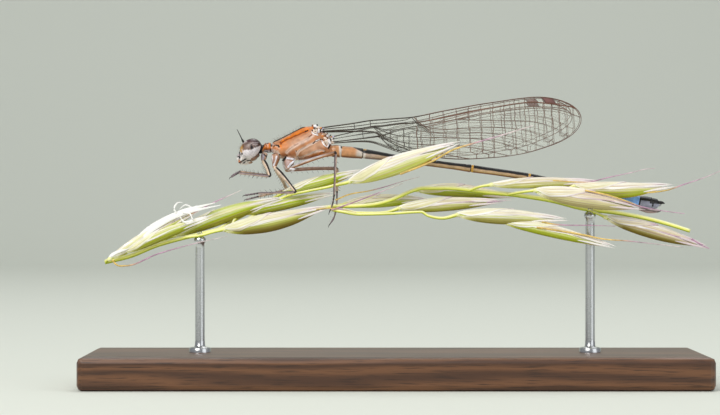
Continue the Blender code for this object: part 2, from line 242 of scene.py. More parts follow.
# %% Node helpers
def add(tree, kind, inputs=None, **settings):
    """A node with its settings, whose inputs are given as values or as the sockets that feed them."""
    made = tree.nodes.new(kind)
    for key, value in settings.items():
        setattr(made, key, value)
    for key, value in (inputs or {}).items():
        if isinstance(value, bpy.types.NodeSocket):
            tree.links.new(value, made.inputs[key])
        else:
            made.inputs[key].default_value = value
    return made


def colour_mix(tree, share, low, high):
    """The blend of two colours, each a socket or an (r, g, b)."""
    made = add(tree, "ShaderNodeMix", {0: share}, data_type="RGBA")
    for place, value in ((6, low), (7, high)):
        if isinstance(value, bpy.types.NodeSocket):
            tree.links.new(value, made.inputs[place])
        else:
            made.inputs[place].default_value = (*value, 1.0)
    return made.outputs[2]


def maths(tree, operation, first, second=0.0):
    return add(tree, "ShaderNodeMath", {0: first, 1: second}, operation=operation).outputs[0]


def mark_socket(tree, name):
    return add(tree, "ShaderNodeAttribute", attribute_name=name).outputs["Fac"]


def new_finish(name, **shader_values):
    """A Principled material, returned with its tree and its shader."""
    material = bpy.data.materials.new(name)
    material.use_nodes = True
    tree = material.node_tree
    shader = tree.nodes["Principled BSDF"]
    for key, value in shader_values.items():
        label = key.replace("_", " ").title().replace("Ior", "IOR")
        shader.inputs[label].default_value = value
    return material, tree, shader


def shade(red, green, blue):
    """A colour from a paint chart's 0 to 255 values, as the linear values that a shader takes."""
    values = np.array([red, green, blue]) / 255
    return tuple(np.where(values <= 0.04045, values / 12.92, ((values + 0.055) / 1.055) ** 2.4))


def object_place(tree, squeeze=None):
    """Where a point lies on its piece, squeezed along the axes if asked."""
    place = add(tree, "ShaderNodeTexCoord").outputs["Object"]
    if squeeze is None:
        return place
    return add(tree, "ShaderNodeVectorMath", {0: place, 1: squeeze}, operation="MULTIPLY").outputs[0]


def noise(tree, place, scale, detail, output="Fac"):
    return add(tree, "ShaderNodeTexNoise",
               {"Vector": place, "Scale": scale, "Detail": detail}).outputs[output]


def mapped(tree, value, source, target):
    """A value carried from one (low, high) range to another."""
    ends = dict(enumerate((*source, *target), start=1))
    return add(tree, "ShaderNodeMapRange", {0: value, **ends}).outputs[0]


def add_relief(tree, shader, height, depth, strength=1.0, **settings):
    """A bump on the shader's surface, its depth in metres."""
    bump = add(tree, "ShaderNodeBump", {"Height": height, "Distance": depth, "Strength": strength},
               **settings)
    tree.links.new(bump.outputs[0], shader.inputs["Normal"])

# %% [markdown]
# Insect skin and grass alike are never one flat colour: both have a fine mottle and a fine relief. One
# node group gives both, built once and placed in each finish with its own scale. It puts out a tone, which
# darkens or lightens the colour, and a height for a bump.

# %% The shared grain
BROADER = 0.22  # the mottle's scale against the fine grain's
PIT_SHARE = 0.6  # how much of the relief is pits


def build_grain():
    group = bpy.data.node_groups.new("skin_grain", "ShaderNodeTree")
    for name, default in (("Scale", 9000.0), ("Stretch", 1.0)):
        socket = group.interface.new_socket(name, in_out="INPUT", socket_type="NodeSocketFloat")
        socket.default_value = default
    for name in ("Tone", "Height"):
        group.interface.new_socket(name, in_out="OUTPUT", socket_type="NodeSocketFloat")
    entry, leave = group.nodes.new("NodeGroupInput"), group.nodes.new("NodeGroupOutput")
    scale = entry.outputs["Scale"]
    squeeze = add(group, "ShaderNodeCombineXYZ", {0: entry.outputs["Stretch"], 1: 1.0, 2: 1.0}).outputs[0]
    place = object_place(group, squeeze)
    group.links.new(noise(group, place, maths(group, "MULTIPLY", scale, BROADER), 3.0), leave.inputs["Tone"])
    pits = add(group, "ShaderNodeTexVoronoi", {"Vector": place, "Scale": scale}).outputs["Distance"]
    pits = maths(group, "MULTIPLY", pits, PIT_SHARE)
    group.links.new(maths(group, "ADD", noise(group, place, scale, 2.0), pits), leave.inputs["Height"])
    return group


GRAIN = build_grain()
print("shared groups:", GRAIN.name)

# %% [markdown]
# A painted skin starts from one colour and lays others over it where the marks say so, as a model painter
# works from the lightest coat to the black lines. The same recipe serves thorax, abdomen, legs, head and
# grass, each with its own layers.

# %% Painted skins
def painted_skin(name, base, coats, scale=9000.0, stretch=1.0, mottle=0.30, relief=2.5e-6, **shader_values):
    """A skin of one base colour with a coat of its own for each mark, and the shared grain."""
    material, tree, shader = new_finish(name, **shader_values)
    grain = add(tree, "ShaderNodeGroup", {"Scale": scale, "Stretch": stretch}, node_tree=GRAIN)
    colour = add(tree, "ShaderNodeRGB").outputs[0]
    colour.default_value = (*shade(*base), 1.0)
    for mark, paint in coats.items():
        colour = colour_mix(tree, mark_socket(tree, mark), colour, shade(*paint))
    tone = mapped(tree, grain.outputs["Tone"], (0.3, 0.7), (1 - mottle, 1 + mottle))
    spread = add(tree, "ShaderNodeCombineColor", {0: tone, 1: tone, 2: tone}).outputs[0]
    toned = add(tree, "ShaderNodeMix", {0: 1.0, 6: colour, 7: spread}, data_type="RGBA",
                blend_type="MULTIPLY")
    tree.links.new(toned.outputs[2], shader.inputs["Base Color"])
    add_relief(tree, shader, grain.outputs["Height"], relief)
    return material

# %% [markdown]
# ## Wings
# A damselfly's wing is a clear film stretched on a net of hollow veins and folded like a fan, so that
# every other long vein stands proud. The edge of each wing is given by how far it lies in front of and
# behind the line from hinge to tip. Dividing those distances by a rounding term makes the tip come out
# round instead of pointed. A place on a wing is then two numbers: t along it and s from front to back.

# %% The wings' outline
FORE = {
    "hinge": (1.47, 1.10),
    "length": 19.02,
    "pitch_deg": {LEFT: 2.5, RIGHT: 2.6},
    "lean_deg": {LEFT: 3.0, RIGHT: 17.0},
    "apart": (0.72, 0.74),
    "spot": (0.858, 0.902),
    "front": [(0, 0.16), (0.03, 0.22), (0.115, 0.37), (0.186, 0.53), (0.245, 0.57), (0.3, 0.60),
              (0.348, 0.64), (0.38, 0.71), (0.456, 0.95), (0.541, 1.18), (0.611, 1.37), (0.688, 1.55),
              (0.766, 1.77), (0.86, 2.0), (1, 2.02)],
    "back": [(0, 0.16), (0.115, 0.22), (0.18, 0.30), (0.21, 0.43), (0.245, 0.92), (0.3, 1.50),
             (0.38, 2.08), (0.47, 2.47), (0.58, 2.62), (0.68, 2.62), (0.78, 2.54), (0.86, 2.38), (1, 2.2)],
}
HIND = {
    "hinge": (2.28, 0.51),
    "length": 17.60,
    "pitch_deg": {LEFT: 4.9, RIGHT: 6.1},
    "lean_deg": {LEFT: 0.0, RIGHT: 7.0},
    "apart": (0.38, 0.30),
    "spot": (0.819, 0.866),
    "front": [(0, 0.10), (0.13, 0.41), (0.16, 0.47), (0.26, 0.57), (0.36, 0.62), (0.40, 0.68),
              (0.47, 0.86), (0.57, 1.09), (0.68, 1.27), (0.78, 1.44), (0.86, 1.58), (1, 1.62)],
    "back": [(0, 0.38), (0.13, 0.49), (0.16, 0.59), (0.22, 1.06), (0.26, 1.39), (0.36, 1.87),
             (0.46, 2.08), (0.57, 2.12), (0.68, 2.06), (0.78, 1.98), (0.86, 1.76), (1, 1.35)],
}
TIP_ROUNDING = 8  # a higher power keeps the blade full for longer before the tip


def prepare_wing(wing):
    """Adds the smooth edge functions to a wing's figures."""
    front, back = eased(wing["front"]), eased(wing["back"])
    wing["lead"] = lambda t: front(t) * np.sqrt(np.clip(1 - t**TIP_ROUNDING, 0, 1))
    wing["trail"] = lambda t: -back(t) * np.sqrt(np.clip(1 - t**TIP_ROUNDING, 0, 1))
    return wing


WINGS = {"fore": prepare_wing(FORE), "hind": prepare_wing(HIND)}
for name, wing in WINGS.items():
    chord = np.max(wing["lead"](np.linspace(0, 1, 99)) - wing["trail"](np.linspace(0, 1, 99)))
    print(f"{name} wing: {wing['length']} mm long and {chord:.1f} mm wide")

# %% [markdown]
# The long veins all start near the hinge or branch from one another, and end on the wing's edge. Each is
# listed by its branching and end points, as (t, s), with its thickness at both ends and whether it rides
# on a ridge (+1) or in a furrow (-1). These are the veins of a pond damselfly: costa, subcosta, radius with
# its three branches and the two veins between them, the two medias and the cubitus. The hem closes the
# rear edge. Past the nodus they run almost level and close together, and reach the rear edge at a shallow
# slant.

# %% Long veins
NODUS = 0.348
VEIN_TABLE = {  # knots, thickness at both ends, fold, how warm
    "costa": ([(0, 0), (0.5, 0), (1, 0)], (0.036, 0.034), 0.3, 0.6),
    "subcosta": ([(0, 0.35), (0.146, 0.35), (0.205, 0.25), (0.263, 0.12), (0.33, 0.05), (NODUS, 0.0)],
                 (0.022, 0.020), -1, 0.0),
    "radius": ([(0, 0.8), (0.146, 0.68), (0.205, 0.47), (0.263, 0.24), (0.367, 0.165), (0.46, 0.14),
                (0.541, 0.118), (0.611, 0.098), (0.688, 0.088), (0.766, 0.084), (0.82, 0.092),
                (0.86, 0.115), (0.90, 0.12), (0.95, 0.09), (0.982, 0.0)], (0.042, 0.034), 1, 1.0),
    "radial_1": ([(0.2, 0.60), (0.263, 0.47), (0.32, 0.33), (0.365, 0.255), (0.456, 0.225), (0.55, 0.21),
                  (0.688, 0.185), (0.80, 0.20), (0.88, 0.225), (0.94, 0.26), (0.996, 0.35)],
                 (0.028, 0.018), -1, 0.4),
    "between_1": ([(0.70, 0.262), (0.76, 0.29), (0.84, 0.37), (0.91, 0.50), (0.975, 0.85)],
                  (0.014, 0.012), 1, 0.2),
    "radial_2": ([(0.53, 0.215), (0.611, 0.294), (0.688, 0.345), (0.766, 0.40), (0.83, 0.48),
                  (0.90, 0.67), (0.955, 1.0)], (0.020, 0.014), -1, 0.2),
    "between_2": ([(0.385, 0.25), (0.42, 0.33), (0.456, 0.375), (0.541, 0.405), (0.611, 0.42),
                   (0.688, 0.47), (0.766, 0.56), (0.83, 0.70), (0.905, 1.0)], (0.022, 0.014), 1, 0.0),
    "radial_3": ([(0.33, 0.31), (0.38, 0.40), (0.456, 0.46), (0.541, 0.49), (0.611, 0.525), (0.688, 0.60),
                  (0.766, 0.73), (0.86, 1.0)], (0.022, 0.014), -1, 0.0),
    "media": ([(0.2, 0.62), (0.263, 0.63), (0.348, 0.575), (0.456, 0.555), (0.541, 0.59), (0.611, 0.645),
               (0.688, 0.75), (0.80, 1.0)], (0.024, 0.014), 1, 0.0),
    "media_rear": ([(0.225, 0.84), (0.30, 0.82), (0.38, 0.75), (0.456, 0.725), (0.541, 0.76),
                    (0.611, 0.83), (0.72, 1.0)], (0.024, 0.014), -1, 0.0),
    "cubitus": ([(0.0, 0.97), (0.10, 0.93), (0.21, 0.93), (0.30, 0.925), (0.38, 0.90), (0.456, 0.91),
                 (0.57, 1.0)], (0.024, 0.014), 0.5, 0.0),
    "hem": ([(0, 1), (0.5, 1), (1, 1)], (0.026, 0.026), 0.0, 0.0),
}
FOLD_HEIGHT = 0.05  # how far a ridge stands above the film's middle, near the hinge
VEINS = {}
for name, (knots, thick, fold, warm) in VEIN_TABLE.items():
    VEINS[name] = {"line": eased(knots), "from": knots[0][0], "to": knots[-1][0], "thick": thick,
                   "fold": fold, "warm": warm}


def veins_at(t):
    """The veins crossed at t, from front to back, as (name, s)."""
    crossed = [(name, float(v["line"](t))) for name, v in VEINS.items() if v["from"] <= t <= v["to"]]
    return sorted(crossed, key=lambda pair: pair[1])


def fold_at(t, s):
    """The film's rise or fall at (t, s), swung between the veins on either side."""
    crossed = veins_at(t)
    places = [place for _, place in crossed]
    folds = [VEINS[name]["fold"] for name, _ in crossed]
    return np.interp(s, places, folds) * FOLD_HEIGHT * (1 - 0.6 * t)


def wing_place(wing, side, t, s):
    """A place on a wing in space, from t along it and s across it."""
    along = t * wing["length"]
    lead = float(wing["lead"](t))
    up = lead * (1 - s) + float(wing["trail"](t)) * s
    pitch = math.radians(wing["pitch_deg"][side])
    near, far = wing["apart"]
    spread = (lead - up) * math.tan(math.radians(wing["lean_deg"][side])) * float(smoothstep(0.1, 0.55, t))
    y = side * (near + (far - near) * t + fold_at(t, s) + spread)
    x = wing["hinge"][0] + along * math.cos(pitch) - up * math.sin(pitch)
    return (x, y, wing["hinge"][1] + along * math.sin(pitch) + up * math.cos(pitch))


print("long veins:", ", ".join(VEINS))

# %% [markdown]
# Between the long veins run short crossveins, spaced wide near the nodus and closer towards the tip. They
# stand in columns that run straight down the wing, and in the wide strips at the rear edge they split into
# two rows of cells that sit like bricks. A loop walks along the wing and ties neighbouring veins.

# %% Crossveins
CROSS_THICK = 0.0165
WIDE_STRIP = 0.60  # a strip wider than this many millimetres gets two rows of cells
NARROW_STRIP = 0.09
ANTENODALS = (0.125, 0.187)  # the two crossveins before the nodus
FORK, FORK_LOW = (0.222, 0.84), (0.252, 1.0)  # where the veins part behind the hinge
NODUS_SLIPS = (0.0, 0.009)  # the nodus is a pair of crossveins
FIRST_COLUMN, LAST_COLUMN = 0.262, 0.985
cross_step = eased([(0.2, 0.050), (0.36, 0.052), (0.5, 0.050), (0.65, 0.044), (0.8, 0.036), (0.9, 0.029),
                    (1.0, 0.02)])


def at_vein(name, t):
    return (t, float(VEINS[name]["line"](t)))


def crossveins(wing, phase):
    """Chains of (t, s) for all crossveins of a wing; phase shifts its columns along, from 0 to 1."""
    chains = [[(t, 0.0), at_vein("radius", t + 0.001)] for t in ANTENODALS]
    chains.append([at_vein("radius", ANTENODALS[1]), (0.2, 0.61), FORK])
    chains.append([FORK, (0.244, 0.93), FORK_LOW])
    for slip in NODUS_SLIPS:
        start = NODUS + slip
        middle = at_vein("radius", start + 0.018)
        chains.append([(start, 0.0), middle, (start + 0.036, 0.27), (start + 0.058, 0.40)])
    column, t = 0, FIRST_COLUMN + 0.05 * phase
    while t < LAST_COLUMN:
        width = float(wing["lead"](t) - wing["trail"](t))
        crossed = veins_at(t)
        step = float(cross_step(t))
        for row, ((first, top), (second, low)) in enumerate(zip(crossed, crossed[1:])):
            height = (low - top) * width
            in_front = first == "costa" and second in ("radius", "subcosta")
            if height < NARROW_STRIP or first == "subcosta" or (first == "radius" and t < NODUS + 0.03):
                continue
            if in_front and (t < NODUS + 0.02 or wing["spot"][0] - 0.01 < t < wing["spot"][1] + 0.01):
                continue
            if height < WIDE_STRIP or low < 0.97:
                slant = 0.003 * math.sin(2.4 * row + 1.7 * column)
                chains.append([(t, top), (t + slant, low)])
                continue
            middle, dip = (top + low) / 2, 0.12 * (low - top)
            chains.append([(t, top), (t, middle - dip)])
            chains.append([(t + step / 2, middle + dip), (t + step / 2, low)])
            chains.append([(t, middle - dip), (t + step / 2, middle + dip), (t + step, middle - dip)])
        t += step
        column += 1
    return chains


print("crossveins on a fore wing:", len(crossveins(FORE, 0.0)))

# %% [markdown]
# All veins become thin tubes by Geometry Nodes: the net is only points joined by edges, each point with
# its thickness, and the tree sweeps a small circle along them. The tree is built once, has named inputs,
# and serves every net and wire in this lesson.

# %% A tree that sweeps edges into tubes
def new_tree(name, *inputs):
    tree = bpy.data.node_groups.new(name, "GeometryNodeTree")
    tree.interface.new_socket("Geometry", in_out="INPUT", socket_type="NodeSocketGeometry")
    for label, kind, default in inputs:
        socket = tree.interface.new_socket(label, in_out="INPUT", socket_type=kind)
        if default is not None:
            socket.default_value = default
    tree.interface.new_socket("Geometry", in_out="OUTPUT", socket_type="NodeSocketGeometry")
    return tree, tree.nodes.new("NodeGroupInput"), tree.nodes.new("NodeGroupOutput")


def named_float(tree, name):
    return add(tree, "GeometryNodeInputNamedAttribute", {"Name": name}, data_type="FLOAT").outputs[0]


def end_tree(tree, entry, leave, geometry):
    """Every tree ends the same way: real meshes, smooth, in one finish."""
    real = add(tree, "GeometryNodeRealizeInstances", {0: geometry}).outputs[0]
    smooth = add(tree, "GeometryNodeSetShadeSmooth", {0: real}).outputs[0]
    done = add(tree, "GeometryNodeSetMaterial", {0: smooth, "Material": entry.outputs["Finish"]})
    tree.links.new(done.outputs[0], leave.inputs[0])
    return tree


def build_sweep():
    tree, entry, leave = new_tree(
        "sweep_net", ("Sides", "NodeSocketInt", 6), ("Finish", "NodeSocketMaterial", None)
    )
    thick = named_float(tree, "thick")
    lines = add(tree, "GeometryNodeMeshToCurve", {0: entry.outputs[0]}).outputs[0]
    lines = add(tree, "GeometryNodeSetCurveRadius", {0: lines, "Radius": thick}).outputs[0]
    ring = add(tree, "GeometryNodeCurvePrimitiveCircle", {0: entry.outputs["Sides"], "Radius": 1.0})
    swept = add(tree, "GeometryNodeCurveToMesh", {0: lines, 1: ring.outputs[0], "Fill Caps": True})
    if "Scale" in swept.inputs:
        tree.links.new(thick, swept.inputs["Scale"])
    return end_tree(tree, entry, leave, swept.outputs[0])


SWEEP = build_sweep()


def run_tree(name, carrier_mesh, tree, finish, slot, nodes=(), **values):
    """Runs a tree on a mesh and keeps the result as a plain mesh in a piece of its own."""
    carrier = placed(name + "_carrier", carrier_mesh)
    modifier = carrier.modifiers.new("build", "NODES")
    modifier.node_group = tree
    values["Finish"] = finish
    for item in tree.interface.items_tree:
        if item.in_out == "INPUT" and item.name in values:
            modifier[item.identifier] = values[item.name]
    seen = carrier.evaluated_get(bpy.context.evaluated_depsgraph_get())
    data = bpy.data.meshes.new_from_object(seen)
    data.name = name
    bpy.data.objects.remove(carrier)
    return hand_over(placed(name, data), slot, *nodes)


def net_mesh(name, lines):
    """A mesh of open lines, each (points in mm, thickness at each point, marks)."""
    points, edges, marks, start = [], [], {"thick": []}, 0
    for line, width, line_marks in lines:
        points += world(line).tolist()
        edges += [(start + step, start + step + 1) for step in range(len(line) - 1)]
        for mark, value in {"thick": np.asarray(width) * MM, **line_marks}.items():
            marks.setdefault(mark, []).extend(np.broadcast_to(value, len(line)).tolist())
        start += len(line)
    data = bpy.data.meshes.new(name)
    data.from_pydata(points, edges, [])
    store_marks(data, marks)
    return data

# %% [markdown]
# The veins are dark brown to black, and the thick radius and front edge warm to red-brown beyond the nodus.
# The film is colourless and so thin that it only shows by faint smoky glints. The wing spot is a solid
# cell, grey-brown with a paler rim.

# %% Wing finishes
VEIN_FINISH = painted_skin(
    "wing_vein", (54.8, 42.8, 32.7), {"warm": (114.5, 69.3, 50.1)}, mottle=0.15, roughness=0.38
)
SPOT_FINISH = painted_skin(
    "wing_spot", (123.6, 86.9, 82.3), {"rim": (69.3, 40.8, 36.4)}, mottle=0.25, roughness=0.4
)
FILM_COLOUR = (0.78, 0.80, 0.72, 1.0)
FILM_ALPHA = (0.06, 0.13)  # from its clearest to its smokiest place
SMOKE_SCALE, CREASE_SCALE, CREASE_DEPTH = 900.0, 3500.0, 8e-6


def build_film_finish():
    material, tree, shader = new_finish("wing_film", base_color=FILM_COLOUR, roughness=0.16, ior=1.56)
    place = object_place(tree)
    alpha = mapped(tree, noise(tree, place, SMOKE_SCALE, 4.0), (0.35, 0.7), FILM_ALPHA)
    tree.links.new(alpha, shader.inputs["Alpha"])
    add_relief(tree, shader, noise(tree, place, CREASE_SCALE, 3.0), CREASE_DEPTH)
    return material


FILM_FINISH = build_film_finish()

# %% [markdown]
# Each wing is made by the same three steps: a film of two skins a hundredth of a millimetre apart, folded
# along the veins, the net of veins, and the wing spot near the tip.

# %% Make the wings
FILM_THICK = 0.008
FILM_COLUMNS, FILM_ROWS = 190, 34
ROUTE_POINTS = 150  # on a vein as long as the wing


def towards_tip(steps):
    """Steps from 0 to 1 that crowd towards the tip, where the edge bends most."""
    return 1 - (1 - steps) ** 1.6


def film_grid(wing, side, offset):
    steps = towards_tip(np.linspace(0, 1, FILM_COLUMNS))
    steps[-1] = 0.9995
    across = np.linspace(0, 1, FILM_ROWS)
    grid = np.array([[wing_place(wing, side, t, s) for s in across] for t in steps])
    grid[..., 1] += offset
    return grid.reshape(-1, 3)


def film_faces(columns, rows):
    """Both skins of the film and the rim that closes them."""
    size = columns * rows
    faces = []
    for column in range(columns - 1):
        for row in range(rows - 1):
            a = column * rows + row
            quad = (a, a + 1, a + rows + 1, a + rows)
            faces += [quad, tuple(size + corner for corner in reversed(quad))]
    rim = [c * rows for c in range(columns)] + [(columns - 1) * rows + r for r in range(1, rows)]
    rim += [c * rows + rows - 1 for c in range(columns - 2, -1, -1)] + list(range(rows - 2, 0, -1))
    faces += [(a, b, size + b, size + a) for a, b in zip(rim, rim[1:] + rim[:1])]
    return faces


def vein_lines(wing, side, phase):
    lines = []
    for vein in VEINS.values():
        length = vein["to"] - vein["from"]
        steps = vein["from"] + length * np.linspace(0, 1, max(8, int(length * ROUTE_POINTS)))
        if vein["to"] == 1:
            steps = towards_tip(steps)
        route = np.array([wing_place(wing, side, t, float(vein["line"](t))) for t in steps])
        first, last = vein["thick"]
        warm = max(vein["warm"], 0.55) * smoothstep(NODUS, NODUS + 0.08, steps)
        lines.append((route, first + (last - first) * steps, {"warm": warm}))
    for chain in crossveins(wing, phase):
        route = [wing_place(wing, side, min(t, 0.998), s) for t, s in chain]
        thick = CROSS_THICK * (1.4 if chain[0][0] < 0.38 else 1.0)
        lines.append((np.array(route), thick, {"warm": 0.7 * (chain[0][0] > NODUS)}))
    return lines


def spot_part(wing, side):
    """The wing spot: a slanting filled cell between the front edge and the radius."""
    slant, columns, rows = 0.014, 13, 7
    grids = []
    for offset in (-0.016, 0.016):
        for t in np.linspace(*wing["spot"], columns):
            low = float(VEINS["radius"]["line"](t))
            for share in np.linspace(0, 1, rows):
                x, y, z = wing_place(wing, side, t + slant * (share - 0.5), low * share)
                grids.append((x, y + offset * math.sin(math.pi * min(max(share, 0.08), 0.92)) ** 0.5, z))
    across = np.tile(np.linspace(0, 1, rows), 2 * columns)
    along = np.repeat(np.tile(np.linspace(0, 1, columns), 2), rows)
    rim = 1 - smoothstep(0, 0.22, np.minimum.reduce([across, 1 - across, along * 1.6, (1 - along) * 1.6]))
    return np.array(grids), film_faces(columns, rows), {"rim": rim}


PHASES = {"fore_left": 0.0, "fore_right": 0.07, "hind_left": 0.02, "hind_right": 0.10}
for kind, wing in WINGS.items():
    for label, side in SIDES.items():
        node, ending = f"wing_{kind}_{label}", f"{kind}_{label}"
        skins = [film_grid(wing, side, offset) for offset in (-FILM_THICK / 2, FILM_THICK / 2)]
        faces = film_faces(FILM_COLUMNS, FILM_ROWS)
        film = make_piece(f"film_{ending}", np.concatenate(skins), faces, FILM_FINISH, "wing", [node])
        lines = net_mesh("net", vein_lines(wing, side, PHASES[ending]))
        net = run_tree(f"veins_{ending}", lines, SWEEP, VEIN_FINISH, "wing", [node], Sides=6)
        points, faces, marks = spot_part(wing, side)
        make_piece(f"spot_{ending}", points, faces, SPOT_FINISH, "wing", [node], marks)
        print(f"{node}: film {len(film.data.polygons)} faces, veins {len(net.data.polygons)} faces")

# %% [markdown]
# ## Thorax
# The thorax is a hard shell of plates that lean back, so its seams run up and backwards from the legs to
# the wings. It is one closed skin here, laid over the same stations as the solids, from the neck through
# the small front ring to the abdomen. The seams are pressed in and the keel along the back is raised, by
# measuring how far each point lies from a seam's line in side view.

# %% Line distances and strokes
def gap_to(xs, zs, line):
    """How far each (x, z) lies from a polyline in side view, in millimetres."""
    nearest = np.full(np.shape(xs), 1e9)
    for (ax, az), (bx, bz) in zip(line, line[1:]):
        run, rise = bx - ax, bz - az
        share = np.clip(((xs - ax) * run + (zs - az) * rise) / (run * run + rise * rise), 0, 1)
        nearest = np.minimum(nearest, np.hypot(xs - ax - share * run, zs - az - share * rise))
    return nearest


def stroke(xs, zs, line, half, soft=0.03):
    """A painted line's mark: 1 inside its half width, fading out over its soft edge."""
    return 1 - smoothstep(half, half + soft, gap_to(xs, zs, line))


def spot(xs, zs, x, z, half, soft=0.03):
    return 1 - smoothstep(half, half + soft, np.hypot(xs - x, zs - z))


def dent(gap, width):
    """1 on a line, fading to nothing within about two widths of it."""
    return np.exp(-((gap / width) ** 2))


def strongest(*layers):
    """The strongest of several marks at each point."""
    return np.max(layers, axis=0)


def painted(x, z, paint):
    """Each mark's strength at (x, z), from its strokes of (line, half width, soft edge, strength)."""
    marks = {}
    for mark, strokes in paint.items():
        layers = [strength * stroke(x, z, line, half, soft) for line, half, soft, strength in strokes]
        marks[mark] = strongest(*layers)
    return marks

# %% Lay the thorax skin
THORAX_STATIONS = [  # x, top, bottom, half width
    (-3.20, -0.02, -0.62, 0.30), (-3.10, 0.02, -0.64, 0.38), (-2.98, 0.05, -0.62, 0.42),
    (-2.88, -0.01, -0.52, 0.42), (-2.76, 0.07, -0.52, 0.50), (-2.60, 0.13, -0.55, 0.59),
    (-2.44, 0.17, -0.58, 0.61), (-2.30, 0.12, -0.56, 0.55), (-2.23, 0.02, -0.52, 0.46),
    (-2.15, 0.17, -0.62, 0.56), (-1.85, 0.32, -0.85, 0.78), (-1.21, 0.64, -1.06, 0.95),
    (-0.55, 0.98, -1.12, 1.04), (0.15, 1.31, -1.08, 1.06), (0.71, 1.36, -1.00, 1.02),
    (1.20, 1.20, -0.93, 0.95), (1.60, 0.92, -0.90, 0.84), (1.90, 0.55, -0.88, 0.68),
    (2.08, 0.20, -0.84, 0.50), (2.24, -0.15, -0.86, 0.37),
]
KEEL = 0.30  # how much narrower the back is than the flank
HUMERAL = [(-1.55, 0.12), (-1.30, 0.29), (-0.60, 0.60), (0.00, 0.86), (0.42, 1.03)]
SEAMS = [
    [(-1.10, -0.56), (-0.80, -0.28), (-0.42, -0.05), (0.00, 0.17), (0.41, 0.37), (0.80, 0.68)],
    [(-0.30, -0.66), (-0.20, -0.46), (0.13, -0.26), (0.60, 0.00), (1.00, 0.19), (1.34, 0.40)],
    [(-0.02, -0.94), (0.44, -0.74), (1.16, -0.42), (1.60, -0.44)],
    [(-2.16, -0.62), (-1.95, -0.30), (-1.66, -0.12)],
]
LOBE = [(-0.16, -0.36), (-0.35, -0.54), (-0.37, -0.80), (-0.24, -1.00)]
ARCH = [(-2.08, -0.15), (-1.97, -0.01), (-1.84, -0.02), (-1.74, -0.05), (-1.66, -0.16)]
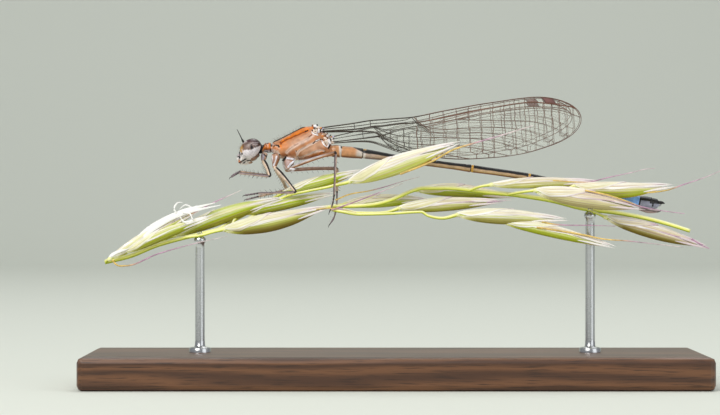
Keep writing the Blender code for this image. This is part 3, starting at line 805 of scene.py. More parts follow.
THORAX_PAINT = {  # each mark's strokes: line, half width, soft edge, strength
    "pale": [
        (SEAMS[0], 0.06, 0.14, 0.65), (SEAMS[1], 0.03, 0.10, 0.85), (SEAMS[2], 0.040, 0.07, 1.0),
        ([(-1.95, -0.55), (-1.90, -0.95)], 0.16, 0.22, 0.8),
        ([(-2.0, -0.02), (-1.62, -0.28)], 0.0, 0.12, 0.5),
        ([(-1.72, -0.64), (-1.60, -0.86)], 0.08, 0.05, 1.0),
        ([(-2.25, -0.17), (-2.23, -0.19)], 0.05, 0.03, 1.0),
        ([(-1.98, -0.30), (-1.94, -0.60)], 0.01, 0.04, 0.7),
        ([(-1.84, -0.30), (-1.80, -0.56)], 0.01, 0.04, 0.7),
        ([(-1.22, -0.93), (-0.50, -1.02)], 0.07, 0.08, 1.0),
        ([(-0.95, -0.42), (-0.62, -0.22)], 0.03, 0.12, 0.5), (LOBE, 0.022, 0.06, 0.9),
        ([(0.90, -0.64), (1.30, -0.52)], 0.01, 0.05, 0.7),
        ([(-0.46, -0.46), (-0.42, -0.62)], 0.015, 0.05, 0.8),
    ],
    # The pink strokes are painted highlights: a lighter pink laid along the keel's edge, across the flank and
    # on the front lobes.
    "pink": [
        ([(-1.95, 0.22), (-1.10, 0.62), (-0.20, 1.00), (0.4, 1.22)], 0.04, 0.08, 0.35),
        ([(-2.70, 0.04), (-2.64, -0.12)], 0.015, 0.05, 1.0),
        ([(-2.53, 0.06), (-2.48, -0.14)], 0.03, 0.06, 1.0),
        ([(-0.60, 0.10), (0.60, 0.72)], 0.10, 0.22, 0.6), ([(0.2, -0.52), (1.5, 0.02)], 0.14, 0.22, 0.75),
    ],
    "orange": [
        ([(-1.50, 0.19), (-1.20, 0.38), (-0.60, 0.67), (-0.03, 0.92), (0.40, 1.08)], 0.07, 0.10, 1.0),
        ([(-0.60, 0.76), (0.0, 1.00), (0.35, 1.13)], 0.14, 0.10, 1.0),
        ([(-1.58, 0.08), (-1.52, -0.20)], 0.03, 0.10, 0.8),
        ([(-1.45, -0.20), (-1.25, -0.05)], 0.06, 0.30, 0.30),
        ([(-2.0, -0.22), (-1.85, -0.30)], 0.06, 0.14, 0.45),
        ([(0.62, 1.30), (0.80, 1.30)], 0.07, 0.12, 0.8), ([(0.10, 1.18), (0.60, 1.22)], 0.05, 0.10, 0.5),
        ([(0.05, -1.00), (0.8, -0.80), (1.5, -0.58)], 0.06, 0.10, 0.45),
    ],
    "brown": [
        (HUMERAL, 0.030, 0.040, 1.0), ([(-1.57, 0.16), (-1.53, 0.08)], 0.05, 0.06, 1.0),
        ([(-0.85, -0.60), (-0.52, -0.58)], 0.05, 0.16, 0.50), ([(0.0, -1.10), (0.7, -0.92)], 0.03, 0.06, 0.6),
        ([(-0.06, 0.62), (0.30, 0.80)], 0.02, 0.10, 0.3), ([(-0.55, -0.02), (-0.30, 0.06)], 0.01, 0.06, 0.5),
        ([(0.52, 0.59), (0.73, 0.72)], 0.02, 0.04, 0.9), ([(-2.70, -0.30), (-2.35, -0.34)], 0.04, 0.10, 0.6),
        ([(-1.40, -0.72), (-1.15, -0.80)], 0.05, 0.12, 0.5),
        ([(1.2, -0.25), (1.75, -0.30)], 0.02, 0.15, 0.22),
        ([(0.2, -1.00), (0.9, -0.80), (1.5, -0.74)], 0.02, 0.07, 0.8),
        ([(-0.18, -1.04), (-0.06, -1.06)], 0.05, 0.05, 0.9),
    ],
    "dark": [
        (ARCH, 0.022, 0.02, 1.0), (ARCH[2:], 0.040, 0.02, 1.0),
        ([(0.26, 1.00), (0.42, 1.05)], 0.036, 0.03, 1.0),
        ([(0.54, 0.61), (0.70, 0.71)], 0.008, 0.02, 0.9), ([(0.84, 0.12), (0.95, 0.20)], 0.03, 0.03, 1.0),
        ([(0.98, 0.24), (1.20, 0.36)], 0.030, 0.03, 1.0),
        ([(-1.44, -1.16), (-1.30, -1.03), (-1.10, -0.85)], 0.055, 0.03, 1.0),
        ([(1.94, -0.26), (2.06, 0.00)], 0.035, 0.03, 1.0), ([(-2.66, 0.20), (-2.52, 0.14)], 0.06, 0.02, 1.0),
        ([(-2.28, 0.20), (-2.25, -0.10)], 0.030, 0.03, 1.0),
        ([(-2.82, 0.04), (-2.92, -0.20), (-3.10, -0.56)], 0.070, 0.03, 1.0),
        ([(-2.67, 0.08), (-2.62, -0.04)], 0.020, 0.03, 0.9),
        ([(-2.62, -0.06), (-2.60, -0.24)], 0.004, 0.03, 0.6),
        ([(-2.76, -0.10), (-2.70, -0.14)], 0.004, 0.03, 0.5),
        ([(-2.74, -0.36), (-2.50, -0.38)], 0.008, 0.03, 0.6),
        ([(-1.64, -0.71), (-1.59, -0.74)], 0.040, 0.025, 1.0),
        ([(-0.42, -0.44), (-0.38, -0.48)], 0.020, 0.03, 1.0),
        ([(-0.34, -0.86), (-0.22, -0.98)], 0.012, 0.03, 0.8),
        ([(-2.57, -0.48), (-2.52, -0.55)], 0.02, 0.02, 1.0),
        ([(-2.12, 0.30), (-2.02, 0.33)], 0.02, 0.03, 1.0),
        ([(-2.30, -0.30), (-2.24, -0.62)], 0.02, 0.03, 0.9),
        ([(0.0, -0.99), (0.50, -0.84)], 0.004, 0.02, 0.7),
        ([(1.28, -0.66), (1.74, -0.50)], 0.010, 0.025, 0.8),
    ],
    "grey": [
        ([(-2.70, -0.50), (-2.40, -0.46)], 0.08, 0.06, 1.0),
        ([(-2.22, -0.02), (-2.12, 0.04)], 0.02, 0.06, 0.8),
        ([(-2.20, -0.40), (-2.14, -0.75)], 0.04, 0.08, 0.7),
    ],
}
SWELLINGS = [  # x, z, how long, how tall, how proud
    (-2.68, 0.02, 0.06, 0.14, 0.06), (-2.52, -0.16, 0.07, 0.16, 0.07), (-2.36, 0.00, 0.05, 0.12, 0.05),
    (-0.72, -0.64, 0.26, 0.17, 0.05), (-1.62, -0.80, 0.14, 0.14, 0.04), (0.55, -0.45, 0.60, 0.16, 0.03),
    (-1.88, -0.30, 0.16, 0.20, 0.03),
]
SEAM_DEPTH, LIP_HEIGHT, LIP_GAP = 0.030, 0.020, 0.09  # a pressed seam, and the raised lips beside it
KEEL_HEIGHT = 0.045
THORAX_ROWS, THORAX_COLUMNS = 300, 160


def thorax_outline(x):
    """The thorax's top, bottom and half width at x."""
    stations = np.array(THORAX_STATIONS)
    return [eased(stations[:, (0, column)])(x) for column in (1, 2, 3)]


def thorax_part():
    xs = np.linspace(THORAX_STATIONS[0][0], THORAX_STATIONS[-1][0], THORAX_ROWS)
    top, bottom, half = (values[:, None] for values in thorax_outline(xs))
    turn = ring_angles(THORAX_COLUMNS)[None, :]
    middle, tall = (top + bottom) / 2, (top - bottom) / 2
    x = np.broadcast_to(xs[:, None], (THORAX_ROWS, THORAX_COLUMNS))
    z = middle + tall * np.sin(turn)
    y = -half * np.cos(turn) * (1 - KEEL * np.clip(np.sin(turn), 0, 1))
    press = np.zeros(x.shape)
    for seam in SEAMS:
        gap = gap_to(x, z, seam)
        press += SEAM_DEPTH * dent(gap, 0.030) - LIP_HEIGHT * dent(gap - LIP_GAP, 0.04)
    press += 0.020 * dent(gap_to(x, z, HUMERAL), 0.035)
    press += SEAM_DEPTH * dent(gap_to(x, z, ARCH), 0.03)
    keel = smoothstep(-2.2, -2.0, x) * smoothstep(0.30, 0.05, x) * (np.sin(turn) > 0)
    press -= KEEL_HEIGHT * keel * dent(y, 0.035)
    for centre_x, centre_z, wide, tall_as, lift in SWELLINGS:
        press -= lift * np.exp(-(((x - centre_x) / wide) ** 2 + ((z - centre_z) / tall_as) ** 2))
    inward = 1 - press / np.hypot(y, z - middle)
    points = np.stack([x, y * inward, middle + (z - middle) * inward], axis=-1)
    points = closed((xs[0], 0, middle[0, 0]), points, (xs[-1], 0, middle[-1, 0]))
    return points, tube_faces(THORAX_ROWS, THORAX_COLUMNS)


def thorax_marks(points):
    x, y, z = points.T
    drift = 0.014 * np.sin(9 * x + 5 * z) + 0.009 * np.sin(27 * x - 19 * z)
    marks = painted(x + 0.5 * drift, z + drift, THORAX_PAINT)
    collar = 0.75 * smoothstep(-0.36, -0.26, z) * smoothstep(-2.23, -2.3, x)
    back_line = (1 - smoothstep(0.17, 0.22, np.abs(y))) * (z > 0) * smoothstep(-2.2, -2.1, x)
    # Under the thorax, below z -0.75, the skin is painted paler: a painted highlight that lifts the shade
    # beneath it.
    marks["pale"] = strongest(marks["pale"], 0.6 * smoothstep(-0.75, -1.0, z) * (x > -2.2))
    # The orange fades where the painted highlights lie.
    marks["orange"] = strongest(marks["orange"], collar) * (1 - 0.7 * marks["pink"])
    neck = smoothstep(-2.90, -2.94, x)
    marks["dark"] = strongest(marks["dark"], neck, back_line * smoothstep(0.26, 0.20, x))
    return marks


THORAX_FINISH = painted_skin(
    "thorax_skin", (192, 132, 92),
    {"pink": (216, 168, 138), "pale": (226, 202, 188), "orange": (222, 118, 0), "grey": (196, 188, 196),
     "brown": (140, 66, 16), "dark": (16, 12, 12)},
    mottle=0.22, roughness=0.42, specular_ior_level=0.25,
)
thorax_points, faces = thorax_part()
thorax = make_piece("thorax_skin", thorax_points, faces, THORAX_FINISH, "thorax",
                    ["thorax", "prothorax", "neck"], thorax_marks(thorax_points))
print("thorax faces:", len(thorax.data.polygons))

# %% [markdown]
# Each wing turns on a cluster of small hard plates, the sclerites, white and black with a little tan. They
# are rounded beads set along the wing's root, half sunk into the thorax, and three larger tan shields run
# down the back between the wings.

# %% Wing roots
def bead(centre, half, tilt_deg=0.0, rows=12, columns=18, **marks):
    """A closed bead with its own half sizes, leaning back by tilt_deg, ready to be joined."""
    polar = np.linspace(0, math.pi, rows + 2)[1:-1, None]
    turn = ring_angles(columns)[None, :]
    x = np.broadcast_to(-np.cos(polar), (rows, columns)) * half[0]
    y = -np.sin(polar) * np.cos(turn) * half[1]
    z = np.sin(polar) * np.sin(turn) * half[2]
    shape = closed((-half[0], 0, 0), np.stack([x, y, z], axis=-1), (half[0], 0, 0))
    cos, sin = math.cos(math.radians(tilt_deg)), math.sin(math.radians(tilt_deg))
    leaning = np.array([(cos, 0, sin), (0, 1, 0), (-sin, 0, cos)])
    return shape @ leaning.T + np.asarray(centre), tube_faces(rows, columns), marks


ROOT_BEADS = [  # x, z, half sizes, how proud, lean, mark
    (1.00, 1.36, (0.17, 0.12, 0.12), 0.06, 15, "white"), (1.23, 0.98, (0.09, 0.09, 0.22), 0.08, 8, "white"),
    (0.98, 0.97, (0.22, 0.10, 0.24), 0.02, 20, "ivory"), (1.20, 1.27, (0.11, 0.08, 0.08), 0.05, 0, "ivory"),
    (0.77, 1.44, (0.045, 0.05, 0.045), 0.12, 0, "brown"), (1.12, 1.46, (0.055, 0.05, 0.06), 0.12, 0, "dark"),
    (0.92, 1.23, (0.085, 0.07, 0.070), 0.26, 0, "dark"), (0.78, 1.05, (0.055, 0.04, 0.060), 0.06, 0, "dark"),
    (0.97, 1.00, (0.050, 0.04, 0.045), 0.09, 0, "brown"),
    (1.40, 1.24, (0.075, 0.07, 0.070), 0.02, 0, "orange"),
    (1.57, 1.20, (0.085, 0.07, 0.080), 0.04, 0, "lilac"),
    (1.47, 1.06, (0.060, 0.06, 0.070), 0.06, 0, "white"),
    (1.58, 1.06, (0.055, 0.05, 0.060), 0.07, 0, "dark"), (1.52, 0.94, (0.075, 0.06, 0.050), 0.04, 0, "lilac"),
    (1.62, 0.79, (0.26, 0.12, 0.08), 0.04, -12, "ivory"), (1.49, 0.64, (0.13, 0.08, 0.07), 0.02, 0, "orange"),
    (1.69, 0.60, (0.060, 0.05, 0.050), 0.05, 0, "brown"),
    (1.88, 0.83, (0.035, 0.04, 0.060), 0.10, 0, "brown"),
    (1.90, 0.66, (0.12, 0.08, 0.10), 0.04, 0, "white"), (2.02, 0.56, (0.10, 0.09, 0.10), 0.02, 0, "ivory"),
    (1.64, 0.12, (0.13, 0.05, 0.20), 0.02, 20, "ivory"),
    (1.37, 0.40, (0.055, 0.04, 0.050), 0.03, 0, "dark"),
    (1.50, 0.38, (0.070, 0.04, 0.045), 0.03, 0, "dark"),
    (1.70, 0.22, (0.060, 0.05, 0.130), 0.02, 10, "brown"),
    (1.80, 0.16, (0.060, 0.05, 0.150), 0.03, 10, "ivory"),
    (2.09, 0.13, (0.070, 0.07, 0.080), 0.06, 0, "white"), (2.10, 0.71, (0.050, 0.04, 0.045), 0.08, 0, "dark"),
    (2.16, 0.60, (0.070, 0.06, 0.050), 0.04, 0, "orange"),
    (2.31, 0.61, (0.075, 0.06, 0.070), 0.05, 0, "lilac"),
    (2.21, 0.48, (0.055, 0.06, 0.055), 0.06, 0, "white"), (2.33, 0.46, (0.050, 0.05, 0.050), 0.07, 0, "dark"),
    (2.26, 0.34, (0.060, 0.05, 0.050), 0.04, 0, "white"), (2.30, 0.16, (0.090, 0.06, 0.070), 0.0, 0, "ivory"),
    (1.66, 0.45, (0.20, 0.10, 0.14), -0.02, 0, "ivory"), (0.98, 0.84, (0.20, 0.08, 0.12), 0.04, 12, "ivory"),
    (1.76, 0.14, (0.17, 0.06, 0.24), 0.03, 12, "ivory"),
    (1.90, 0.20, (0.08, 0.06, 0.22), 0.05, 0, "white"),
    (2.22, 0.30, (0.12, 0.10, 0.22), -0.04, 0, "ivory"),
]
ROOT_RIMS = [  # the ridges between them: (x, z) points, radii, mark
    ([(0.73, 0.98), (0.78, 0.86), (0.95, 0.76), (1.20, 0.70)], [0.03, 0.045, 0.05, 0.04], "white"),
    ([(1.44, 1.19), (1.36, 1.05), (1.40, 0.89)], [0.02, 0.045, 0.02], "dark"),
    ([(1.50, 0.93), (1.60, 0.90), (1.72, 0.98)], [0.015, 0.03, 0.015], "dark"),
    ([(1.47, 0.32), (1.52, 0.16), (1.62, 0.00), (1.88, -0.19)], [0.035, 0.05, 0.05, 0.03], "white"),
    ([(1.96, 0.46), (2.02, 0.32), (1.97, 0.08), (1.89, -0.14)], [0.04, 0.07, 0.055, 0.03], "white"),
    ([(2.08, 0.50), (2.11, 0.36), (2.18, 0.27)], [0.02, 0.045, 0.02], "dark"),
    ([(2.04, 0.04), (2.03, -0.10), (1.98, -0.26)], [0.03, 0.045, 0.025], "dark"),
    ([(1.00, 0.27), (1.30, 0.40)], [0.02, 0.03, 0.02], "white"),
]
ROOT_LINES = [  # fine raised lines on the plates: (x, z) points, radii, mark
    ([(0.84, 1.14), (0.94, 1.06), (1.08, 1.10)], [0.012, 0.024, 0.012], "brown"),
    ([(1.10, 1.04), (1.14, 0.93), (1.08, 0.80)], [0.010, 0.022, 0.010], "lilac"),
    ([(0.86, 0.90), (0.97, 0.84), (1.06, 0.76)], [0.010, 0.020, 0.010], "brown"),
    ([(1.64, 0.30), (1.70, 0.14), (1.80, 0.00)], [0.012, 0.026, 0.012], "brown"),
    ([(1.82, 0.36), (1.87, 0.20), (1.88, 0.04)], [0.010, 0.024, 0.010], "lilac"),
    ([(1.50, 0.86), (1.66, 0.80), (1.80, 0.78)], [0.010, 0.020, 0.010], "orange"),
    ([(1.96, 0.70), (2.02, 0.62), (2.00, 0.52)], [0.010, 0.020, 0.010], "brown"),
]
SHIELDS = [(0.95, 1.30, 0.30, 0.30, 0.14), (1.42, 1.02, 0.24, 0.30, 0.13), (1.80, 0.66, 0.26, 0.26, 0.13)]
SHIELD_LEAN = 40
LEAST_FLANK = 0.43  # the wings turn at least this far out


def flank(x, z):
    """How far out the thorax reaches at (x, z), and at least to where the wings turn."""
    top, bottom, half = thorax_outline(x)
    rise = np.clip((z - (top + bottom) / 2) / ((top - bottom) / 2), -1, 1)
    return max(float(half * math.sqrt(1 - rise * rise) * (1 - KEEL * max(rise, 0))), LEAST_FLANK)


def rod_part(knots, radii, count=24, columns=16, flat=1.0, up=(0, 0, 1), **marks):
    """A smooth closed rod through knots, its radius given at evenly spaced stations."""
    radius = eased_radii(radii, count)
    points = tube_points(smooth_path(knots, count), radius * flat, radius, columns, up)
    return points, tube_faces(count, columns), marks


parts = [bead((x, 0.0, z), half, SHIELD_LEAN, brown=0.6) for x, z, *half in SHIELDS]
for side in (LEFT, RIGHT):
    for x, z, half, proud, lean, mark in ROOT_BEADS:
        parts.append(bead((x, side * (flank(x, z) + proud - half[1] * 0.5), z), half, lean, **{mark: 1.0}))
    for lift, lines in ((0.05, ROOT_RIMS), (0.10, ROOT_LINES)):
        for line, radii, mark in lines:
            knots = [(x, side * (flank(x, z) + lift), z) for x, z in line]
            parts.append(rod_part(knots, radii, 30, 12, up=(0, 1, 0), **{mark: 1.0}))
ROOT_FINISH = painted_skin(
    "wing_root", (206, 176, 148),
    {"white": (246, 242, 244), "ivory": (226, 206, 188), "lilac": (198, 188, 216), "orange": (218, 138, 70),
     "brown": (112, 66, 40), "dark": (12, 8, 16)},
    roughness=0.32, relief=4e-6,
)
make_joined("wing_roots", parts, ROOT_FINISH, "thorax", ["thorax"])
print("wing root beads:", len(parts))

# %% [markdown]
# ## Abdomen
# Ten rings make the abdomen, joined by soft folds. It is one skin too: a tube along the joints' line, with
# the radius of each ring and a pressed fold at each joint. The marks come from two numbers, how far along
# its ring a point lies and how high up the ring's side, because the pattern repeats ring by ring.

# %% Lay the abdomen skin
JOINTS = [(2.06, -0.42), (2.91, -0.49), (4.50, -0.64), (8.31, -1.18), (12.43, -1.73), (16.62, -2.35),
          (20.44, -3.16), (23.38, -3.82), (24.78, -4.15), (25.74, -4.30), (26.26, -4.34)]
RING_RADII = [(0.38, 0.46, 0.42), (0.42, 0.42, 0.40, 0.37), (0.37, 0.32, 0.27, 0.26, 0.28),
              (0.27, 0.25, 0.25, 0.28), (0.28, 0.26, 0.26, 0.29), (0.28, 0.27, 0.28, 0.30),
              (0.30, 0.31, 0.36), (0.38, 0.42, 0.43), (0.43, 0.46, 0.44), (0.42, 0.33)]
joint_points = np.array([(x, 0.0, z) for x, z in JOINTS])
joint_places = np.concatenate([[0], np.cumsum(np.linalg.norm(np.diff(joint_points, axis=0), axis=1))])
radius_stations = {}
for ring, radii in enumerate(RING_RADII):
    for step, radius in enumerate(radii):
        place = joint_places[ring] + (joint_places[ring + 1] - joint_places[ring]) * step / (len(radii) - 1)
        radius_stations[round(float(place), 4)] = radius
ABDOMEN_ROWS, ABDOMEN_COLUMNS = 760, 56
ABDOMEN_SLIM = 0.94  # its width against its height
FOLD_DEPTH, BULGE_HEIGHT = 0.13, 0.03  # at each joint and just before it, against the radius
TAPER = np.linspace(0.98, 0.55, 6)  # the last rows close in


def abdomen_part():
    path = smooth_path(joint_points, ABDOMEN_ROWS)
    along = np.linspace(0, joint_places[-1], ABDOMEN_ROWS)
    radius = eased(radius_stations.items())(along)
    for place in joint_places[1:-1]:
        fold = FOLD_DEPTH * dent(along - place, 0.035)
        radius *= 1 - fold + BULGE_HEIGHT * dent(along - place + 0.12, 0.09)
    radius[-len(TAPER):] *= TAPER
    points = tube_points(path, radius * ABDOMEN_SLIM, radius, ABDOMEN_COLUMNS)
    height = np.tile(np.sin(ring_angles(ABDOMEN_COLUMNS)), ABDOMEN_ROWS)
    height = np.concatenate([[0], height, [0]])
    along = np.concatenate([[0], np.repeat(along, ABDOMEN_COLUMNS), [joint_places[-1]]])
    return points, tube_faces(ABDOMEN_ROWS, ABDOMEN_COLUMNS), along, height


def abdomen_marks(along, height):
    """The marks, ring by ring, from how far along the body and how high up its side a point lies."""
    ring = np.clip(np.searchsorted(joint_places, along, side="right"), 1, 10)
    start, end = joint_places[ring - 1], joint_places[ring]
    after, before = along - start, end - along
    share = after / (end - start)
    middle = (ring >= 3) & (ring <= 7)
    wander = 0.05 * np.sin(along * 5.1) + 0.03 * np.sin(along * 13.7)
    wedge = np.clip(1.05 - 0.72 * (share - 0.42) / 0.5, 0.3, 1.1)
    faded = smoothstep(0.62, 0.80, share) * (ring == 2) * smoothstep(0.5, 0.2, height)
    dark = strongest(
        middle * smoothstep(0.06, 0.20, height + 0.6 * wander),
        (ring >= 2) * (ring <= 7) * smoothstep(0.075, 0.045, before),
        middle * smoothstep(0.45, 0.1, before) * smoothstep(0.0, 0.2, height),
        (ring == 2) * smoothstep(-0.04, 0.06, height - wedge),
        (ring == 1) * (height > 0.6) * (1 - smoothstep(0.05, 0.09, np.abs(before - 0.02))),
        (ring == 9) * smoothstep(0.02, 0.16, height - 0.17 + 0.3 * (share > 0.80)),
        (ring == 10) * smoothstep(-0.10, 0.08, height),
        (ring >= 9) * smoothstep(0.11, 0.07, after) * (height > -0.6),
    )
    pale = strongest(
        (ring == 1) * smoothstep(0.20, 0.14, before - 0.08 * height),
        0.85 * (ring == 2) * smoothstep(0.58, 0.80, share) * smoothstep(-0.75, -0.5, height),
        (ring == 3) * smoothstep(0.20, 0.16, after) * (after > 0.03),
    )
    yellow = strongest(
        (ring >= 4) * (ring <= 7) * smoothstep(0.19, 0.15, after) * (after > 0.02),
        0.9 * (ring == 3) * (height > 0.75) * smoothstep(0.24, 0.18, after),
    )
    return {
        "orange": (ring <= 2) * (1 - faded),
        "pale": pale,
        "yellow": yellow,
        "brown": (ring <= 7) * smoothstep(-0.52, -0.84, height + 0.10 * np.sin(along * 9.0) * (ring == 1)),
        "olive": 0.7 * (ring >= 4) * (ring <= 7) * smoothstep(-0.25, -0.6, height),
        "blue": 1.0 * (ring == 8),
        "ash": strongest(1.0 * (ring >= 9), 0.35 * (ring == 3) * smoothstep(2.6, 0.2, after)),
        "dark": dark * (1 - yellow),
    }


ABDOMEN_FINISH = painted_skin(
    "abdomen_skin", (190, 158, 122),
    {"olive": (172, 146, 84), "orange": (194, 138, 92), "brown": (120, 66, 34), "ash": (142, 144, 162),
     "blue": (134, 186, 254), "pale": (206, 196, 188), "yellow": (212, 160, 56), "dark": (18, 16, 15)},
    scale=12000.0, mottle=0.2, roughness=0.36, coat_weight=0.2, coat_roughness=0.25,
)
points, faces, along, height = abdomen_part()
rings = [f"abdomen_{number:02d}" for number in range(1, len(JOINTS))]
make_piece("abdomen_skin", points, faces, ABDOMEN_FINISH, "abdomen", rings, abdomen_marks(along, height))
print("abdomen length:", round(float(joint_places[-1]), 1), "mm")

# %% [markdown]
# Under the last rings lie the two blades that cut plants open for the eggs, side by side in their sheaths
# with two small feelers at the end. Above them the body ends in two short dark hooks, the cerci.

# %% Blades and cerci
TAIL_RODS = [  # knots with y outwards, radii, how flat, columns, marks: sheath, small feeler, cercus
    ([(24.80, 0.07, -4.66), (25.45, 0.08, -4.87), (26.24, 0.05, -4.90)], [0.14, 0.14, 0.12, 0.05], 0.55,
     16, {}),
    ([(26.08, 0.08, -4.93), (26.27, 0.10, -4.90), (26.39, 0.11, -4.84)], [0.035, 0.03, 0.012], 1.0, 10,
     {"dark": 1.0}),
    ([(26.20, 0.15, -4.22), (26.45, 0.17, -4.24), (26.66, 0.15, -4.30)], [0.12, 0.11, 0.03], 1.0, 16,
     {"dark": 1.0}),
]
SHEATH_LINE = [(24.9, -4.72), (26.0, -4.90)]
tail = []
for side in (LEFT, RIGHT):
    for knots, radii, flat, columns, marks in TAIL_RODS:
        knots = [(x, side * y, z) for x, y, z in knots]
        tail.append(rod_part(knots, radii, 24, columns, flat, **marks))
tail.append(bead((26.28, 0.0, -4.36), (0.16, 0.20, 0.16), ash=1.0))
TAIL_FINISH = painted_skin(
    "tail_plates", (140, 120, 116), {"ash": (150, 150, 156), "dark": (20, 16, 15)}, roughness=0.4
)
points, faces, marks = joined(tail)
marks["dark"] = strongest(marks["dark"], stroke(points[:, 0], points[:, 2], SHEATH_LINE, 0.012))
tail_nodes = ["ovipositor", "cercus_left", "cercus_right"]
make_piece("tail_plates", points, faces, TAIL_FINISH, "abdomen", tail_nodes, marks)
print("tail pieces:", len(tail))

# %% [markdown]
# ## Legs
# A leg is a chain of hard tubes: coxa, trochanter, thigh, shin and a foot of three short joints with two
# claws. Each tube is closed and runs a little into the next, as a real joint does, so no gap shows at the
# knee. The thighs carry a black stripe along the outside and the shins a purple line.

# %% Build the legs
LEGS = {  # coxa, hip, knee, ankle, foot, with y outwards from the middle
    "front_left": [(-2.74, 0.36, -0.62), (-2.87, 0.58, -1.18), (-2.31, 1.15, -2.31), (-4.68, 0.62, -2.07),
                   (-5.21, 0.42, -2.37)],
    "front_right": [(-2.74, 0.36, -0.62), (-2.87, 0.58, -1.18), (-2.46, 1.22, -2.24), (-4.62, 0.66, -1.94),
                    (-5.12, 0.50, -2.22)],
    "mid_left": [(-1.90, 0.42, -0.76), (-2.03, 0.70, -1.68), (-0.42, 1.75, -3.48), (-3.25, 0.95, -3.56),
                 (-4.20, 0.62, -3.71)],
    "mid_right": [(-1.90, 0.42, -0.76), (-2.04, 0.70, -1.70), (-1.15, 2.30, -3.29), (-3.30, 0.95, -3.80),
                  (-4.16, 0.66, -4.02)],
    "hind_left": [(-0.88, 0.44, -0.96), (-0.98, 0.76, -1.80), (2.50, 1.55, -0.55), (2.37, 0.98, -3.71),
                  (2.22, 0.27, -4.42), (2.02, 0.17, -4.93)],
    "hind_right": [(-1.10, 0.42, -1.00), (-1.06, 0.72, -1.92), (2.58, 1.50, -1.70), (2.57, 0.98, -3.46),
                   (2.52, 0.26, -4.60), (2.34, 0.16, -5.36), (2.02, 0.20, -5.86)],
}
STRIPE = {"front": 1.0, "mid": 1.0, "hind": 0.35}  # how black the thigh's stripe is
FOOT_JOINTS = (0.0, 0.22, 0.50, 1.0)
COXA_RADII = {"front": [0.20, 0.23, 0.19, 0.11], "mid": [0.30, 0.29, 0.20, 0.11],
              "hind": [0.34, 0.36, 0.30, 0.18]}
THIGH_RADII = {"front": [0.12, 0.15, 0.165, 0.155, 0.14, 0.125, 0.115, 0.13, 0.10],
               "mid": [0.12, 0.15, 0.165, 0.155, 0.14, 0.125, 0.115, 0.13, 0.10],
               "hind": [0.10, 0.125, 0.135, 0.135, 0.13, 0.125, 0.12, 0.13, 0.10]}
SHIN_RADII = [0.075, 0.105, 0.092, 0.085, 0.080, 0.078, 0.085, 0.07]
FOOT_RADII = [0.06] + [0.066, 0.05] * 5 + [0.035]
HIP_TAN = {"front": 0.5, "mid": 1.0, "hind": 0.85}  # how tan each hip piece is
RAISED = {"white": 0.10, "dark": -0.10, "brown": -0.06}  # how far a hip piece's marks stand proud
COXA_PAINT = {  # strokes on each hip piece, as on the thorax
    "front": {
        "white": [([(-2.58, -0.42), (-2.40, -0.62)], 0.05, 0.05, 0.9),
                  ([(-2.80, -1.14), (-2.70, -1.20)], 0.02, 0.04, 0.8)],
        "grey": [([(-2.86, -0.76), (-2.84, -1.14)], 0.09, 0.08, 1.0)],
        "dark": [([(-2.78, -0.68), (-2.68, -0.79)], 0.038, 0.02, 1.0),
                 ([(-2.60, -0.82), (-2.55, -0.97)], 0.040, 0.02, 1.0),
                 ([(-2.92, -1.16), (-2.78, -1.22)], 0.02, 0.03, 1.0)],
        "brown": [([(-3.02, -0.72), (-2.99, -1.10)], 0.02, 0.04, 0.8),
                  ([(-2.68, -0.84), (-2.76, -1.12)], 0.015, 0.04, 0.8)],
    },
    "mid": {
        "white": [([(-1.84, -0.84), (-2.06, -1.52)], 0.028, 0.05, 1.0),
                  ([(-2.19, -0.80), (-2.12, -1.25)], 0.02, 0.05, 0.9)],
        "grey": [([(-1.98, -1.0), (-2.10, -1.4)], 0.02, 0.05, 0.25)],
        "dark": [([(-2.12, -1.69), (-1.92, -1.74)], 0.025, 0.03, 1.0),
                 ([(-1.76, -0.97), (-1.73, -1.08)], 0.01, 0.02, 0.8)],
        "brown": [([(-1.71, -1.08), (-1.94, -1.66)], 0.030, 0.04, 1.0),
                  ([(-1.94, -1.02), (-2.04, -1.32)], 0.01, 0.04, 0.7),
                  ([(-2.03, -0.74), (-2.10, -1.32)], 0.012, 0.04, 0.8),
                  ([(-2.20, -1.10), (-2.14, -1.60)], 0.02, 0.05, 0.6)],
    },
    "hind": {
        # On the hind piece the white band along the top is a painted highlight, and the grey patch in its
        # middle is painted shade.
        "white": [([(-1.24, -0.96), (-0.50, -1.08)], 0.05, 0.06, 1.0),
                  ([(-1.36, -1.15), (-1.34, -1.45), (-1.23, -1.74)], 0.040, 0.06, 0.9),
                  ([(-1.16, -1.74), (-1.00, -1.86)], 0.03, 0.04, 0.8)],
        "grey": [([(-1.05, -1.20), (-1.0, -1.45)], 0.12, 0.12, 0.45)],
        "dark": [([(-1.44, -1.16), (-1.30, -1.03), (-1.20, -0.95)], 0.075, 0.03, 1.0),
                 ([(-0.80, -1.60), (-0.68, -1.56)], 0.026, 0.025, 1.0)],
        "brown": [([(-0.98, -1.50), (-0.58, -1.19)], 0.028, 0.05, 0.95),
                  ([(-0.70, -1.50), (-0.50, -1.24)], 0.018, 0.04, 0.9),
                  ([(-0.62, -1.36), (-0.72, -1.54)], 0.02, 0.05, 0.9),
                  ([(-1.10, -1.10), (-0.70, -1.13)], 0.010, 0.04, 0.7),
                  ([(-1.20, -1.70), (-1.06, -1.88)], 0.015, 0.05, 0.5)],
    },
}


def leg_line(name):
    """A leg's side of the body, and its places in space."""
    side = SIDES[name.split("_")[1]]
    return side, [np.array((x, side * y, z)) for x, y, z in LEGS[name]]


